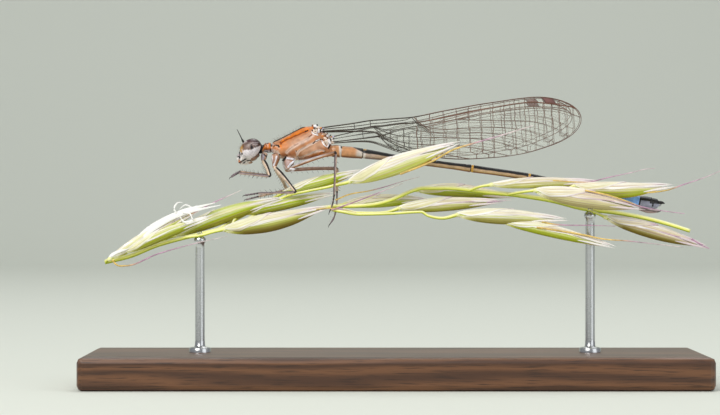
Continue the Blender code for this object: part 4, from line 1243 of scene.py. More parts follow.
def limb_part(knots, radii, side, count=40, columns=20, bow=0.0, turned=1.0):
    """One tube of a leg, with how far each point faces the stripe's side of it, and how far up."""
    start, end = knots[0], knots[-1]
    across = np.cross(end - start, (0, 1, 0))
    across /= np.linalg.norm(across)
    if bow:
        knots = [start, (start + end) / 2 + across * bow, end]
    path = smooth_path(knots, count)
    radius = eased_radii(radii, count)
    points = tube_points(path, radius, radius, columns, up=(0, side, 0))
    towards = across * turned + np.array([0, side * 0.7, 0])
    towards /= np.linalg.norm(towards)
    outward = points - closed(path[0], np.repeat(path, columns, axis=0), path[-1])
    distance = np.maximum(np.linalg.norm(outward, axis=1), 1e-6)
    share = np.concatenate([[0], np.repeat(np.linspace(0, 1, count), columns), [1]])
    return points, tube_faces(count, columns), share, outward @ towards / distance, outward[:, 2] / distance


def hip_parts(pair, side, coxa, hip):
    """The hip piece with its painted seams pressed in, and the hind pair's ridge and beads."""
    middle = coxa + (hip - coxa) * 0.5
    points, faces, share, *_ = limb_part([coxa, middle, hip], COXA_RADII[pair], side, 70, 60)
    marks = painted(points[:, 0], points[:, 2], COXA_PAINT[pair])
    marks["tan"] = np.full(len(points), HIP_TAN[pair])
    outward = points - (coxa + (hip - coxa) * share[:, None])
    points = points + outward * sum(lift * marks[mark] for mark, lift in RAISED.items())[:, None]
    parts = [(points, faces, marks)]
    if pair == "hind":
        ridge = [(-0.54, side * 0.80, -1.17), (-0.80, side * 0.92, -1.40), (-1.03, side * 0.90, -1.68)]
        knob = hip + (0.26, side * 0.05, 0.03)
        parts.append(rod_part(ridge, [0.05, 0.075, 0.085, 0.07], 30, 16, up=(0, 1, 0), white=1.0))
        parts.append(bead(knob, (0.25, 0.12, 0.11), 4, 16, 20, white=0.9, grey=0.4))
        parts.append(bead((-1.34, side * 0.56, -1.08), (0.15, 0.12, 0.07), -40, dark=1.0))
    return parts


def thigh_part(pair, side, coxa, hip, knee):
    start = hip - (hip - coxa) / np.linalg.norm(hip - coxa) * 0.08
    points, faces, share, facing, rise = limb_part([start, knee], THIGH_RADII[pair], side, 60, 24, bow=0.05)
    hind, far = 1.0 * (pair == "hind"), 1.0 * (side == RIGHT)
    stripe = STRIPE[pair] * smoothstep(0.50, 0.72, facing) * smoothstep(0.03, 0.09, share)
    knee_ring = smoothstep(0.955, 0.975, share) * smoothstep(-0.9, -0.2, facing)
    # Painted shade: the hind pair's far thigh is painted browner and duskier. Painted highlight: only the
    # near hind thigh is whiter along its top.
    below = hind * np.maximum(smoothstep(0.00, -0.45, rise), 0.45 * far)
    near_knee = 0.75 * hind * (1 - far) * smoothstep(0.60, 0.86, share)
    above = smoothstep(0.0, 0.5, rise) * smoothstep(0.92, 0.66, share)
    return points, faces, {"dark": strongest(stripe, knee_ring), "thigh": 1.0, "dusk": 0.35 * hind * far,
                           "brown": strongest(below, near_knee), "white": hind * (1 - far) * above}


def shin_part(side, knee, ankle):
    points, faces, share, facing, _ = limb_part([knee, ankle], SHIN_RADII, side, 60, 20, turned=-1.0)
    ends = strongest(smoothstep(0.06, 0.03, share), smoothstep(0.965, 0.98, share))
    dark = strongest(ends, 0.75 * smoothstep(0.75, 0.9, facing))
    return points, faces, {"dark": dark, "dusk": 0.85 * smoothstep(-0.1, 0.5, facing)}


def foot_parts(side, ankle, foot):
    """The foot with its dark joints, and its two claws."""
    points, faces, share, facing, _ = limb_part([ankle, *foot], FOOT_RADII, side, 60, 14)
    joints = sum(smoothstep(0.05, 0.02, np.abs(share - joint)) for joint in FOOT_JOINTS)
    parts = [(points, faces, {"dark": np.clip(joints + 0.35 * (facing > 0.2), 0, 1), "dusk": 0.9})]
    before, tip = [ankle, *foot][-2:]
    ahead = (tip - before) / np.linalg.norm(tip - before)
    for spread in (-0.06, 0.06):
        bend, point = np.array([0, spread, 0.0]), np.array([0, spread * 1.6, -0.10])
        knots = [tip, tip + ahead * 0.10 + bend, tip + ahead * 0.15 + point]
        parts.append(rod_part(knots, [0.028, 0.022, 0.006], 14, 8, up=(0, 1, 0), dark=1.0))
    return parts


def leg_parts(name):
    pair = name.split("_")[0]
    side, (coxa, hip, knee, ankle, *foot) = leg_line(name)
    thigh, shin = thigh_part(pair, side, coxa, hip, knee), shin_part(side, knee, ankle)
    return hip_parts(pair, side, coxa, hip) + [thigh, shin] + foot_parts(side, ankle, foot)


# The dusky coat is the shins' purple-grey line and the feet's own dusky tone, and painted shade on the far
# hind thigh.
LEG_FINISH = painted_skin(
    "leg_skin", (206, 178, 158),
    {"thigh": (214, 190, 166), "tan": (172, 130, 104), "grey": (180, 168, 178), "white": (228, 226, 234),
     "brown": (156, 98, 58), "dusk": (122, 104, 116), "dark": (20, 14, 18)},
    scale=14000.0, roughness=0.42,
)
for name in LEGS:
    nodes = [f"leg_{name}_{piece}" for piece in ("femur", "tibia", "tarsus")]
    make_joined(f"leg_{name}", leg_parts(name), LEG_FINISH, "leg", nodes)
print("legs:", len(LEGS))

# %% [markdown]
# ## Head
# A damselfly's head is broad like a hammer, with an eye at each end and the face between. The skull is
# grown as one skin from overlapping balls: rays go out from its middle, and each stops where the balls'
# summed strength falls to one, which rounds the places where they meet.

# %% Grow the skull
HEAD_MIDDLE = np.array([-3.80, 0.0, -0.50])
SKULL_BALLS = [  # centre, half sizes
    ((-3.66, 0.0, -0.38), (0.54, 1.16, 0.62)), ((-3.72, 0.0, 0.02), (0.42, 0.60, 0.26)),
    ((-4.16, 0.0, -0.34), (0.32, 0.58, 0.38)), ((-4.02, 0.58, -0.86), (0.40, 0.32, 0.38)),
    ((-4.02, -0.58, -0.86), (0.40, 0.32, 0.38)), ((-4.08, 0.0, -1.05), (0.40, 0.48, 0.38)),
    ((-3.34, 0.0, -0.32), (0.22, 0.80, 0.38)),
]
REACH = np.linspace(0.02, 1.6, 320)  # places along each ray, in millimetres
BLEND = 9.0  # a higher number rounds the places where balls meet less
JAW_LINE = [(-4.60, -1.33), (-4.30, -1.15), (-4.01, -0.98)]


def grown_skin(middle, balls, rows, columns):
    """A closed skin round overlapping balls, as (points, faces), with its poles at the far sides."""
    polar, turn = np.linspace(0, math.pi, rows + 2)[1:-1, None], ring_angles(columns)[None, :]
    aims = [np.sin(polar) * np.cos(turn), -np.cos(polar) + 0 * turn, np.sin(polar) * np.sin(turn)]
    aims = closed((0, -1, 0), np.stack(aims, axis=-1), (0, 1, 0))
    strength = np.zeros((len(aims), len(REACH)))
    for centre, half in balls:
        offset = (middle - np.array(centre)) / np.array(half)
        spread = aims / np.array(half)
        cross, square = 2 * (spread @ offset)[:, None], np.sum(spread**2, axis=1)[:, None]
        inside = np.sum(offset**2) + cross * REACH + square * REACH**2
        strength += np.exp(-BLEND * (np.sqrt(np.maximum(inside, 0)) - 1))
    last = len(REACH) - 1 - np.argmax(strength[:, ::-1] >= 1, axis=1)
    after = np.minimum(last + 1, len(REACH) - 1)
    rays = np.arange(len(aims))
    high, low = strength[rays, last], strength[rays, after]
    share = np.clip((high - 1) / np.maximum(high - low, 1e-9), 0, 1)
    distance = REACH[last] + share * (REACH[after] - REACH[last])
    return middle + aims * distance[:, None], tube_faces(rows, columns)


def skull_marks(points):
    x, y, z = points.T
    out = np.abs(y)
    crown_spots = spot(x, out, -3.42, 0.62, 0.13, 0.05) * (z > -0.2)
    top = smoothstep(-0.22, -0.08, z + 0.25 * (x + 4.0)) * (x > -4.6)
    nape = smoothstep(-3.34, -3.22, x) * smoothstep(-0.75, -0.55, z)
    throat = 0.85 * smoothstep(-3.80, -3.55, x) * smoothstep(-0.62, -0.74, z)
    jaw = stroke(x, z, JAW_LINE, 0.035) * (out > 0.3)
    jaw_rear = stroke(x, z, [(-4.0, -1.16), (-3.5, -1.10)], 0.02, 0.05) * (out > 0.3)
    return {
        "dark": strongest(strongest(top, nape, throat) * (1 - crown_spots), jaw, jaw_rear),
        "pale": 0.8 * smoothstep(-0.75, -1.0, z),
        "orange": crown_spots,
        "brown": 0.7 * smoothstep(-3.70, -3.40, x) * smoothstep(-0.50, -0.70, z),
    }


HEAD_FINISH = painted_skin(
    "head_skin", (196, 166, 142),
    {"pale": (232, 226, 224), "grey": (190, 178, 186), "orange": (198, 128, 88), "brown": (140, 84, 46),
     "dark": (18, 14, 18)},
    scale=11000.0, roughness=0.34, coat_weight=0.25, coat_roughness=0.2,
)
skull, skull_faces = grown_skin(HEAD_MIDDLE, SKULL_BALLS, 150, 140)
make_piece("head_skin", skull, skull_faces, HEAD_FINISH, "head", ["head"], skull_marks(skull))
print("skull spans", np.ptp(skull, axis=0).round(2), "mm")

# %% [markdown]
# The face is built of separate hard plates, as on the insect: the shiny black bump below the forehead, the
# pale band under it, the upper lip with its dark root, the jaws at the sides and the lower lip beneath.
# Three simple eyes sit on the crown between the big ones.

# %% Face plates
FACE_BEADS = [  # x, outwards, z, half sizes, tilt, marks; outwards above zero is made on both sides
    (-4.49, 0.0, -0.58, (0.15, 0.44, 0.15), 0, {"dark": 1.0}),
    (-4.38, 0.42, -0.62, (0.08, 0.10, 0.08), 0, {"dark": 1.0}),
    (-4.35, 0.86, -0.64, (0.060, 0.10, 0.055), 0, {"dark": 1.0}),
    (-3.62, 0.46, -0.98, (0.36, 0.30, 0.20), -20, {"brown": 0.7, "dark": 0.35}),
    (-3.32, 0.30, -0.74, (0.20, 0.24, 0.20), -30, {"brown": 0.7, "dark": 0.6}),
    (-4.62, 0.0, -0.78, (0.15, 0.38, 0.13), 0, {"grey": 0.9}),
    (-4.66, 0.0, -1.00, (0.16, 0.38, 0.19), 12, {"pale": 1.0}),
    (-4.56, 0.66, -0.92, (0.07, 0.12, 0.09), 0, {"dark": 1.0}),
    (-4.38, 0.56, -0.94, (0.18, 0.22, 0.31), 8, {"pale": 1.0}),
    (-4.56, 0.34, -1.23, (0.11, 0.11, 0.13), 20, {"orange": 1.0}),
    (-4.20, 0.44, -1.22, (0.26, 0.16, 0.10), 22, {"pale": 0.9}),
    (-4.22, 0.18, -1.34, (0.32, 0.20, 0.12), 0, {"pale": 0.8}),
    (-4.46, 0.18, -1.32, (0.12, 0.08, 0.10), 0, {"brown": 0.8}),
    (-3.96, 0.0, -1.28, (0.34, 0.30, 0.12), 0, {"brown": 0.4}),
    (-4.24, 0.30, -0.06, (0.13, 0.13, 0.12), 0, {"dark": 1.0}),
]
SIMPLE_EYES = [(-4.00, 0.0, 0.22), (-3.80, -0.17, 0.31), (-3.80, 0.17, 0.31)]
parts = []
for x, outwards, z, half, tilt, marks in FACE_BEADS:
    for side in ((LEFT, RIGHT) if outwards else (RIGHT,)):
        parts.append(bead((x, side * outwards, z), half, tilt, 20, 28, **marks))
points, faces, marks = joined(parts)
x, y, z = points.T
lip = (x < -4.4) & (np.abs(y) < 0.40)
cheek = np.abs(y) > 0.36
marks["dark"] = strongest(
    marks["dark"],
    lip * stroke(x, z, [(-4.9, -0.88), (-4.4, -0.86)], 0.02),
    spot(y, z, 0.0, -0.93, 0.04) * (x < -4.7),
    cheek * stroke(x, z, JAW_LINE, 0.035),
    cheek * stroke(x, z, [(-4.33, -1.39), (-4.09, -1.18)], 0.030),
)
make_piece("face_plates", points, faces, HEAD_FINISH, "head", ["head"], marks)
SIMPLE_EYE_FINISH = painted_skin("simple_eye", (150, 112, 70), {}, roughness=0.08, coat_weight=1.0)
simple_eyes = [bead(centre, (0.065, 0.065, 0.055), 0, 10, 14) for centre in SIMPLE_EYES]
make_joined("simple_eyes", simple_eyes, SIMPLE_EYE_FINISH, "eye")
print("face plates:", len(parts))

# %% [markdown]
# Each compound eye is an egg that leans back, purple-brown on top, banded across the middle and pale below,
# with the dark false pupil that seems to look back at you. The facets are real relief: a honeycomb too fine
# to model one by one, so it comes from a cell pattern's height, and the bands come from marks.

# %% Compound eyes
EYE_CENTRE = np.array([-3.77, 1.12, -0.28])
EYE_HALF = (0.65, 0.70, 0.84)
EYE_TILT = 48.0
PALE_EDGE = [(-4.60, -0.50), (-4.22, -0.45), (-3.94, -0.38), (-3.62, -0.40), (-3.38, -0.21), (-3.00, -0.10)]
EYE_PAINT = {
    "cap": [([(-4.00, 0.37), (-3.66, 0.40), (-3.36, 0.32), (-3.18, 0.20)], 0.08, 0.07, 1.0)],
    "rim": [([(-3.92, 0.46), (-3.66, 0.46), (-3.40, 0.39), (-3.22, 0.28)], 0.035, 0.05, 1.0),
            ([(-3.34, 0.34), (-3.22, 0.24), (-3.14, 0.06)], 0.050, 0.05, 1.0),
            ([(-4.425, -0.60), (-4.405, -0.64)], 0.050, 0.03, 1.0)],
    # These pale strokes are painted highlights on the eye's gloss.
    "shine": [([(-3.75, 0.12), (-3.25, 0.20)], 0.012, 0.05, 0.45),
              ([(-4.30, 0.16), (-4.10, 0.26)], 0.02, 0.06, 0.7),
              ([(-3.60, 0.02), (-3.30, 0.04)], 0.01, 0.04, 0.5),
              ([(-4.42, -0.30), (-4.34, -0.52)], 0.015, 0.05, 0.8)],
    "bands": [
        ([(-4.00, 0.22), (-3.70, 0.29), (-3.40, 0.28)], 0.010, 0.035, 0.8),
        ([(-4.1, 0.10), (-3.80, 0.13), (-3.25, 0.17)], 0.008, 0.035, 0.6),
        ([(-3.85, 0.03), (-3.55, 0.05), (-3.25, 0.08)], 0.008, 0.03, 0.5),
        ([(-4.2, 0.02), (-3.95, -0.02)], 0.01, 0.03, 0.4),
        ([(-3.30, -0.05), (-3.10, -0.01)], 0.035, 0.04, 1.0),
        ([(-3.49, -0.10), (-3.44, -0.14)], 0.035, 0.04, 0.8),
        ([(-3.93, -0.27), (-3.92, -0.31)], 0.025, 0.04, 0.5),
        ([(-4.45, -0.70), (-4.52, -0.86)], 0.006, 0.03, 0.45),
        ([(-3.66, -0.52), (-3.65, -0.56)], 0.02, 0.04, 0.3),
    ],
    "amber": [([(-4.52, -0.10), (-4.44, -0.42)], 0.06, 0.13, 0.9)],
    "brown": [([(-4.36, 0.06), (-4.31, -0.14)], 0.03, 0.06, 0.9),
              ([(-4.50, 0.05), (-4.54, -0.12)], 0.03, 0.04, 0.7)],
    "pupil": [([(-3.745, -0.03), (-3.71, -0.14)], 0.030, 0.04, 0.9),
              ([(-3.700, -0.15), (-3.680, -0.23)], 0.078, 0.03, 1.0)],
}


def eye_marks(points, side):
    x, y, z = points.T
    drift = 0.02 * np.sin(11 * x) + 0.012 * np.sin(31 * x + 9 * z)
    marks = painted(x - 0.055, z + 0.03 + drift, EYE_PAINT)
    edge = np.interp(x, *np.array(PALE_EDGE).T)
    flecks = smoothstep(0.35, 0.9, np.sin(37 * x + 5 * z) * np.sin(29 * z - 11 * x))
    marks["middle"] = smoothstep(-0.05, 0.07, z + drift - edge)
    marks["top"] = smoothstep(0.12, 0.30, z + drift + 0.10 * (x + 3.8))
    marks["pupil"] = marks["pupil"] * (y * side > 1.2)
    marks["speckle"] = 0.5 * flecks * (1 - marks["middle"])
    return marks


FACET_SCALE, FACET_DEPTH = 26000.0, 6e-6


def build_eye_finish():
    material = painted_skin(
        "compound_eye", (234, 226, 230),
        {"speckle": (176, 176, 180), "middle": (126, 103, 94), "top": (82, 56, 60), "amber": (204, 150, 56),
         "brown": (120, 76, 28), "cap": (70, 28, 32), "bands": (66, 50, 52), "rim": (52, 26, 18),
         "shine": (206, 196, 200), "pupil": (18, 6, 12)},
        scale=16000.0, mottle=0.16, roughness=0.36, coat_weight=0.20, coat_roughness=0.18,
    )
    tree = material.node_tree
    comb = {"Vector": object_place(tree), "Scale": FACET_SCALE, "Randomness": 0.25}
    facets = add(tree, "ShaderNodeTexVoronoi", comb).outputs["Distance"]
    add_relief(tree, tree.nodes["Principled BSDF"], facets, FACET_DEPTH, 0.8, invert=True)
    return material


EYE_FINISH = build_eye_finish()
for label, side in SIDES.items():
    points, faces, _ = bead(EYE_CENTRE * (1, side, 1), EYE_HALF, EYE_TILT, 90, 120)
    make_piece(f"eye_{label}", points, faces, EYE_FINISH, "eye", [f"eye_{label}"], eye_marks(points, side))
print("eye height:", round(2 * EYE_HALF[2], 2), "mm")

# %% [markdown]
# The feelers are short: two thick joints at the root and a bristle as thin as a hair on top.

# %% Feelers
FEELER_ROOT = [(-4.24, 0.31, 0.02), (-4.33, 0.35, 0.26), (-4.42, 0.40, 0.44)]  # x, outwards, z
FEELER_BRISTLE = [(-4.42, 0.40, 0.44), (-4.60, 0.50, 0.80), (-4.77, 0.60, 1.15)]
parts = []
for side in (LEFT, RIGHT):
    root, bristle = (np.array(line) * (1, side, 1) for line in (FEELER_ROOT, FEELER_BRISTLE))
    parts.append(rod_part(root, [0.095, 0.085, 0.055, 0.075, 0.065, 0.035], 40, 16, up=(1, 0, 0)))
    parts.append(rod_part(bristle, [0.034, 0.026, 0.018, 0.009], 40, 12, up=(1, 0, 0)))
FEELER_FINISH = painted_skin("feeler", (30, 26, 26), {}, scale=14000.0, roughness=0.38)
make_joined("feelers", parts, FEELER_FINISH, "black_chitin", ["antenna_left", "antenna_right"])
print("feeler joints:", len(parts))

# %% [markdown]
# Spines and hairs are all the same thing at different sizes: a thin cone standing on the skin. A tree puts
# one cone on each point of a cloud, turned along the point's aim and scaled by its length and thickness.
# Shins carry three rows of stiff spines, which hold prey, and thorax and face wear fine brown hair.

# %% A tree that grows bristles
def build_bristles():
    tree, entry, leave = new_tree(
        "grow_bristles", ("Sides", "NodeSocketInt", 5), ("Finish", "NodeSocketMaterial", None)
    )
    cone = add(tree, "GeometryNodeMeshCone", {
        "Vertices": entry.outputs["Sides"], "Radius Top": 0.15, "Radius Bottom": 1.0, "Depth": 1.0,
    })
    aim = add(tree, "GeometryNodeInputNamedAttribute", {"Name": "aim"}, data_type="FLOAT_VECTOR").outputs[0]
    turn = add(tree, "FunctionNodeAlignRotationToVector", {"Vector": aim}, axis="Z").outputs[0]
    thick, length = named_float(tree, "thick"), named_float(tree, "length")
    size = add(tree, "ShaderNodeCombineXYZ", {0: thick, 1: thick, 2: length}).outputs[0]
    grown = add(tree, "GeometryNodeInstanceOnPoints", {
        "Points": entry.outputs[0], "Instance": cone.outputs[0], "Rotation": turn, "Scale": size,
    })
    return end_tree(tree, entry, leave, grown.outputs[0])


BRISTLES = build_bristles()


def bristle_mesh(name, bristles):
    """A cloud of points from (place in mm, aim, length in mm, radius in mm)."""
    data = bpy.data.meshes.new(name)
    places, aims, lengths, radii = (np.array(column, float) for column in zip(*bristles))
    data.from_pydata(world(places).tolist(), [], [])
    aim_layer = data.attributes.new("aim", "FLOAT_VECTOR", "POINT")
    aim_layer.data.foreach_set("vector", aims.astype(np.float32).ravel())
    store_marks(data, {"length": lengths * MM, "thick": radii * MM})
    return data

# %% Leg spines
SPINES = {  # how each row leans across and outwards, spines in a row, length, radius, lift off the axis
    "shin": ([(1.0, 0.5), (-1.0, 0.5), (0.9, -0.6)], 7, 0.28, 0.012, 0.07),
    "thigh": ([(-1.0, 0.3), (1.0, -0.4)], 9, 0.22, 0.012, 0.09),
    "foot": ([(1.0, 0.2), (-1.0, 0.2)], 7, 0.08, 0.009, 0.04),
}
SPINE_SLANT = 0.55  # how far a spine leans towards the foot


def limb_bristles(start, end, side, rows, count, length, radius, lift):
    """Rows of spines along a limb, each row given by how its spines lean across and outwards."""
    forward = (end - start) / np.linalg.norm(end - start)
    across = np.cross(forward, (0, 1, 0))
    across /= np.linalg.norm(across)
    grown = []
    for lean, outwards in rows:
        away = across * lean + np.array([0, side * outwards, 0])
        away /= np.linalg.norm(away)
        for step in range(count):
            share = (step + 0.6) / (count + 0.4)
            aim = away + forward * SPINE_SLANT + rng.normal(0, 0.08, 3)
            size = length * (0.7 + 0.5 * math.sin(math.pi * share))
            grown.append((start + (end - start) * share + away * lift, aim, size, radius))
    return grown


spines = []
for name in LEGS:
    side, (_, hip, knee, ankle, *foot) = leg_line(name)
    for start, end, limb in ((knee, ankle, "shin"), (hip, knee, "thigh"), (ankle, foot[-1], "foot")):
        spines += limb_bristles(start, end, side, *SPINES[limb])
SPINE_FINISH = painted_skin("spine", (60, 44, 38), {}, roughness=0.4)
run_tree("leg_spines", bristle_mesh("spines", spines), BRISTLES, SPINE_FINISH, "leg")
print("spines:", len(spines))

# %% Fine hair
HAIR_PATCHES = [  # skin, how many, where, length, radius, lean
    (thorax_points, 170, lambda x, y, z: (z > 0.75 * x + 1.15) & (x > -2.1) & (x < 0.1),
     0.34, 0.004, (-0.35, 0, 0.5)),
    (skull, 170, lambda x, y, z: (x < -4.05) & (np.abs(y) < 0.75) & (z > -1.2),
     0.26, 0.006, (-0.6, 0, 0.2)),
    (thorax_points, 120, lambda x, y, z: (z < -0.7) & (x < 1.5), 0.20, 0.006, (0.1, 0, -0.5)),
]


def hairs_on(points, wanted, keep, length, radius, lean):
    """Hairs on a skin's points where keep(x, y, z) holds, standing off the skin and leaning by lean."""
    middle = points.mean(axis=0)
    grown = []
    for index in rng.choice(np.flatnonzero(keep(*points.T)), wanted):
        out = points[index] + rng.normal(0, 0.012, 3) - middle
        aim = out / np.linalg.norm(out) + np.array(lean) + rng.normal(0, 0.22, 3)
        grown.append((points[index], aim, length * rng.uniform(0.6, 1.3), radius))
    return grown


hairs = [hair for patch in HAIR_PATCHES for hair in hairs_on(*patch)]
HAIR_FINISH = painted_skin("fine_hair", (128, 114, 92), {}, roughness=0.6)
run_tree("fine_hairs", bristle_mesh("hairs", hairs), BRISTLES, HAIR_FINISH, "thorax")
print("hairs:", len(hairs))

# %% [markdown]
# ## Grass perch
# The perch is a flowering stem of a wild grass. A ribbed green stalk runs through it, and thinner stalks
# branch off to the spikelets. Every floret in a spikelet is wrapped in husks: boat-shaped scales with green
# nerves, papery white margins and a purple tinge. The husks are thin closed shells laid round the spindle
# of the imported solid, overlapping one another as the real ones do.

# %% Stalks
RIB_HEIGHT = 0.07  # against the stalk's radius


def stalk_part(knots, radii, count, columns=20, ribs=9, **marks):
    """A ribbed stalk, painted lighter on top as a painted highlight and darker below as painted shade."""
    radius = eased_radii(radii, count)
    path = smooth_path(knots, count)
    points = tube_points(path, radius, radius, columns,
                         shape=lambda share, turn: 1 + RIB_HEIGHT * np.cos(ribs * turn))
    height = np.concatenate([[0], np.tile(np.sin(ring_angles(columns)), count), [0]])
    # Painted light: the top of the stalk is painted lighter and its underside darker.
    light, deep = smoothstep(0.05, 0.8, height), smoothstep(-0.1, -0.8, height)
    return points, tube_faces(count, columns), {"light": light, "deep": deep, **marks}


STEM = [(-14.49, 0, -8.60), (-12.65, 0, -8.16), (-10.59, 0, -7.35), (-7.50, 0, -6.54), (-5.29, 0, -6.03),
        (-2.72, 0, -5.37), (-0.15, 0, -4.85), (2.43, 0, -4.52), (4.12, 0, -4.49), (5.51, 0, -4.34),
        (6.62, 0, -4.01), (7.87, 0, -3.46), (8.97, 0, -3.16), (10.51, 0, -3.16), (13.60, 0, -3.46),
        (16.03, 0, -3.71), (18.38, 0, -4.08), (20.74, 0, -4.67), (22.79, 0, -4.93), (24.85, 0, -5.29),
        (26.91, 0, -5.81), (28.53, 0, -6.32)]
BRANCHES = {  # the thin stalks that carry the spikelets
    "01": [[(-14.4, -0.1, -8.58), (-14.3, -0.3, -8.5), (-14.1, -0.52, -8.38)]],
    "02": [[(-10.8, 0.0, -7.42), (-10.2, 0.3, -7.0), (-9.4, 0.4, -6.66)],
           [(-5.2, 0.1, -5.95), (-4.9, 0.3, -5.4), (-4.45, 0.36, -5.0)]],
    "03": [[(-8.6, -0.1, -6.8), (-7.3, -0.4, -6.62), (-6.6, -0.6, -6.42), (-5.7, -0.72, -6.2)]],
    "04": [[(-6.4, 0.15, -6.3), (-4.0, 0.9, -5.0), (-2.3, 0.7, -4.0), (-1.2, 0.1, -3.42)]],
    "05": [[(-4.4, 0.3, -5.7), (-2.6, 0.6, -4.6), (-1.2, 0.2, -3.78), (0.2, -0.35, -3.44), (1.8, -0.5, -3.12),
            (3.5, -0.62, -2.72)]],
    "06": [[(2.0, 0.2, -4.55), (2.6, 0.5, -4.42), (3.2, 0.66, -4.33)]],
    "07": [[(3.0, -0.25, -4.75), (4.2, -0.45, -4.98), (6.2, -0.40, -4.93), (7.1, -0.15, -4.68)]],
    "08": [[(7.4, 0.1, -3.7), (7.9, 0.5, -3.4), (8.5, 0.64, -3.31)]],
    "09": [[(12.3, -0.1, -3.33), (13.1, -0.5, -3.05), (13.9, -0.62, -2.93)],
           [(18.4, -0.3, -3.9), (19.2, -0.7, -3.3), (19.95, -0.82, -3.05)]],
    "10": [[(15.2, -0.1, -3.62), (16.2, -0.8, -3.45), (17.1, -1.10, -3.34)]],
    "11": [[(2.2, -0.3, -4.75), (3.0, -0.5, -4.92), (4.2, -0.7, -5.10), (6.4, -0.76, -5.05),
            (8.75, -0.70, -4.92), (9.26, -0.70, -5.2), (10.3, -0.72, -5.38), (11.4, -0.72, -5.14)]],
    "12": [[(21.0, -0.05, -4.75), (21.6, -0.35, -5.0), (22.3, -0.42, -5.30)]],
}
STEM_ROWS, STEM_COLUMNS = 260, 30
STEM_RADII = [0.17, 0.15, 0.14, 0.14, 0.13, 0.13, 0.14, 0.16, 0.17, 0.15, 0.13]
# The light coat is a painted highlight on the stalks' tops, the darker green one painted shade on their
# undersides.
STALK_FINISH = painted_skin(
    "stalk", (246, 246, 132), {"light": (250, 250, 190), "deep": (190, 206, 40), "pale": (244, 244, 200)},
    stretch=0.15, mottle=0.08, relief=1.5e-6, roughness=0.42, specular_ior_level=0.3,
)
points, faces, marks = stalk_part(STEM, STEM_RADII, STEM_ROWS, STEM_COLUMNS)
marks["pale"] = 1.0 * np.isin(np.arange(len(points)), (0, len(points) - 1))  # the cut ends
make_piece("stem", points, faces, STALK_FINISH, "grass", ["perch_stem"], marks)
print("stem rings:", STEM_ROWS)

# %% Husks
FLORET_END, FLORET_FLATNESS = 0.07, 0.5
HUSK_ROWS, HUSK_COLUMNS, HUSK_THICK = 24, 65, 0.022
KERNEL_ROWS, KERNEL_COLUMNS = 30, 24


def floret_place(floret, share, angle, radius):
    """Places round a floret's axis: share along it, angle from the viewer's side up and over, radius."""
    base, tip, _, bow = floret
    start, end = np.array(base), np.array(tip)
    forward = (end - start) / np.linalg.norm(end - start)
    side = np.cross(forward, (0, 0, 1))
    side /= np.linalg.norm(side)
    up = np.cross(side, forward)
    arch = bow * np.sin(math.pi * np.clip(share, 0, 1))
    centre = start + (end - start) * share[..., None] + up * arch[..., None]
    across = side * (np.cos(angle) * FLORET_FLATNESS)[..., None] + up * np.sin(angle)[..., None]
    return centre + across * radius[..., None]


def floret_swell(floret, share):
    rise = np.sin(math.pi * np.clip(share, 0, 1) ** 0.85) ** 0.8
    return FLORET_END + (floret[2] - FLORET_END) * rise


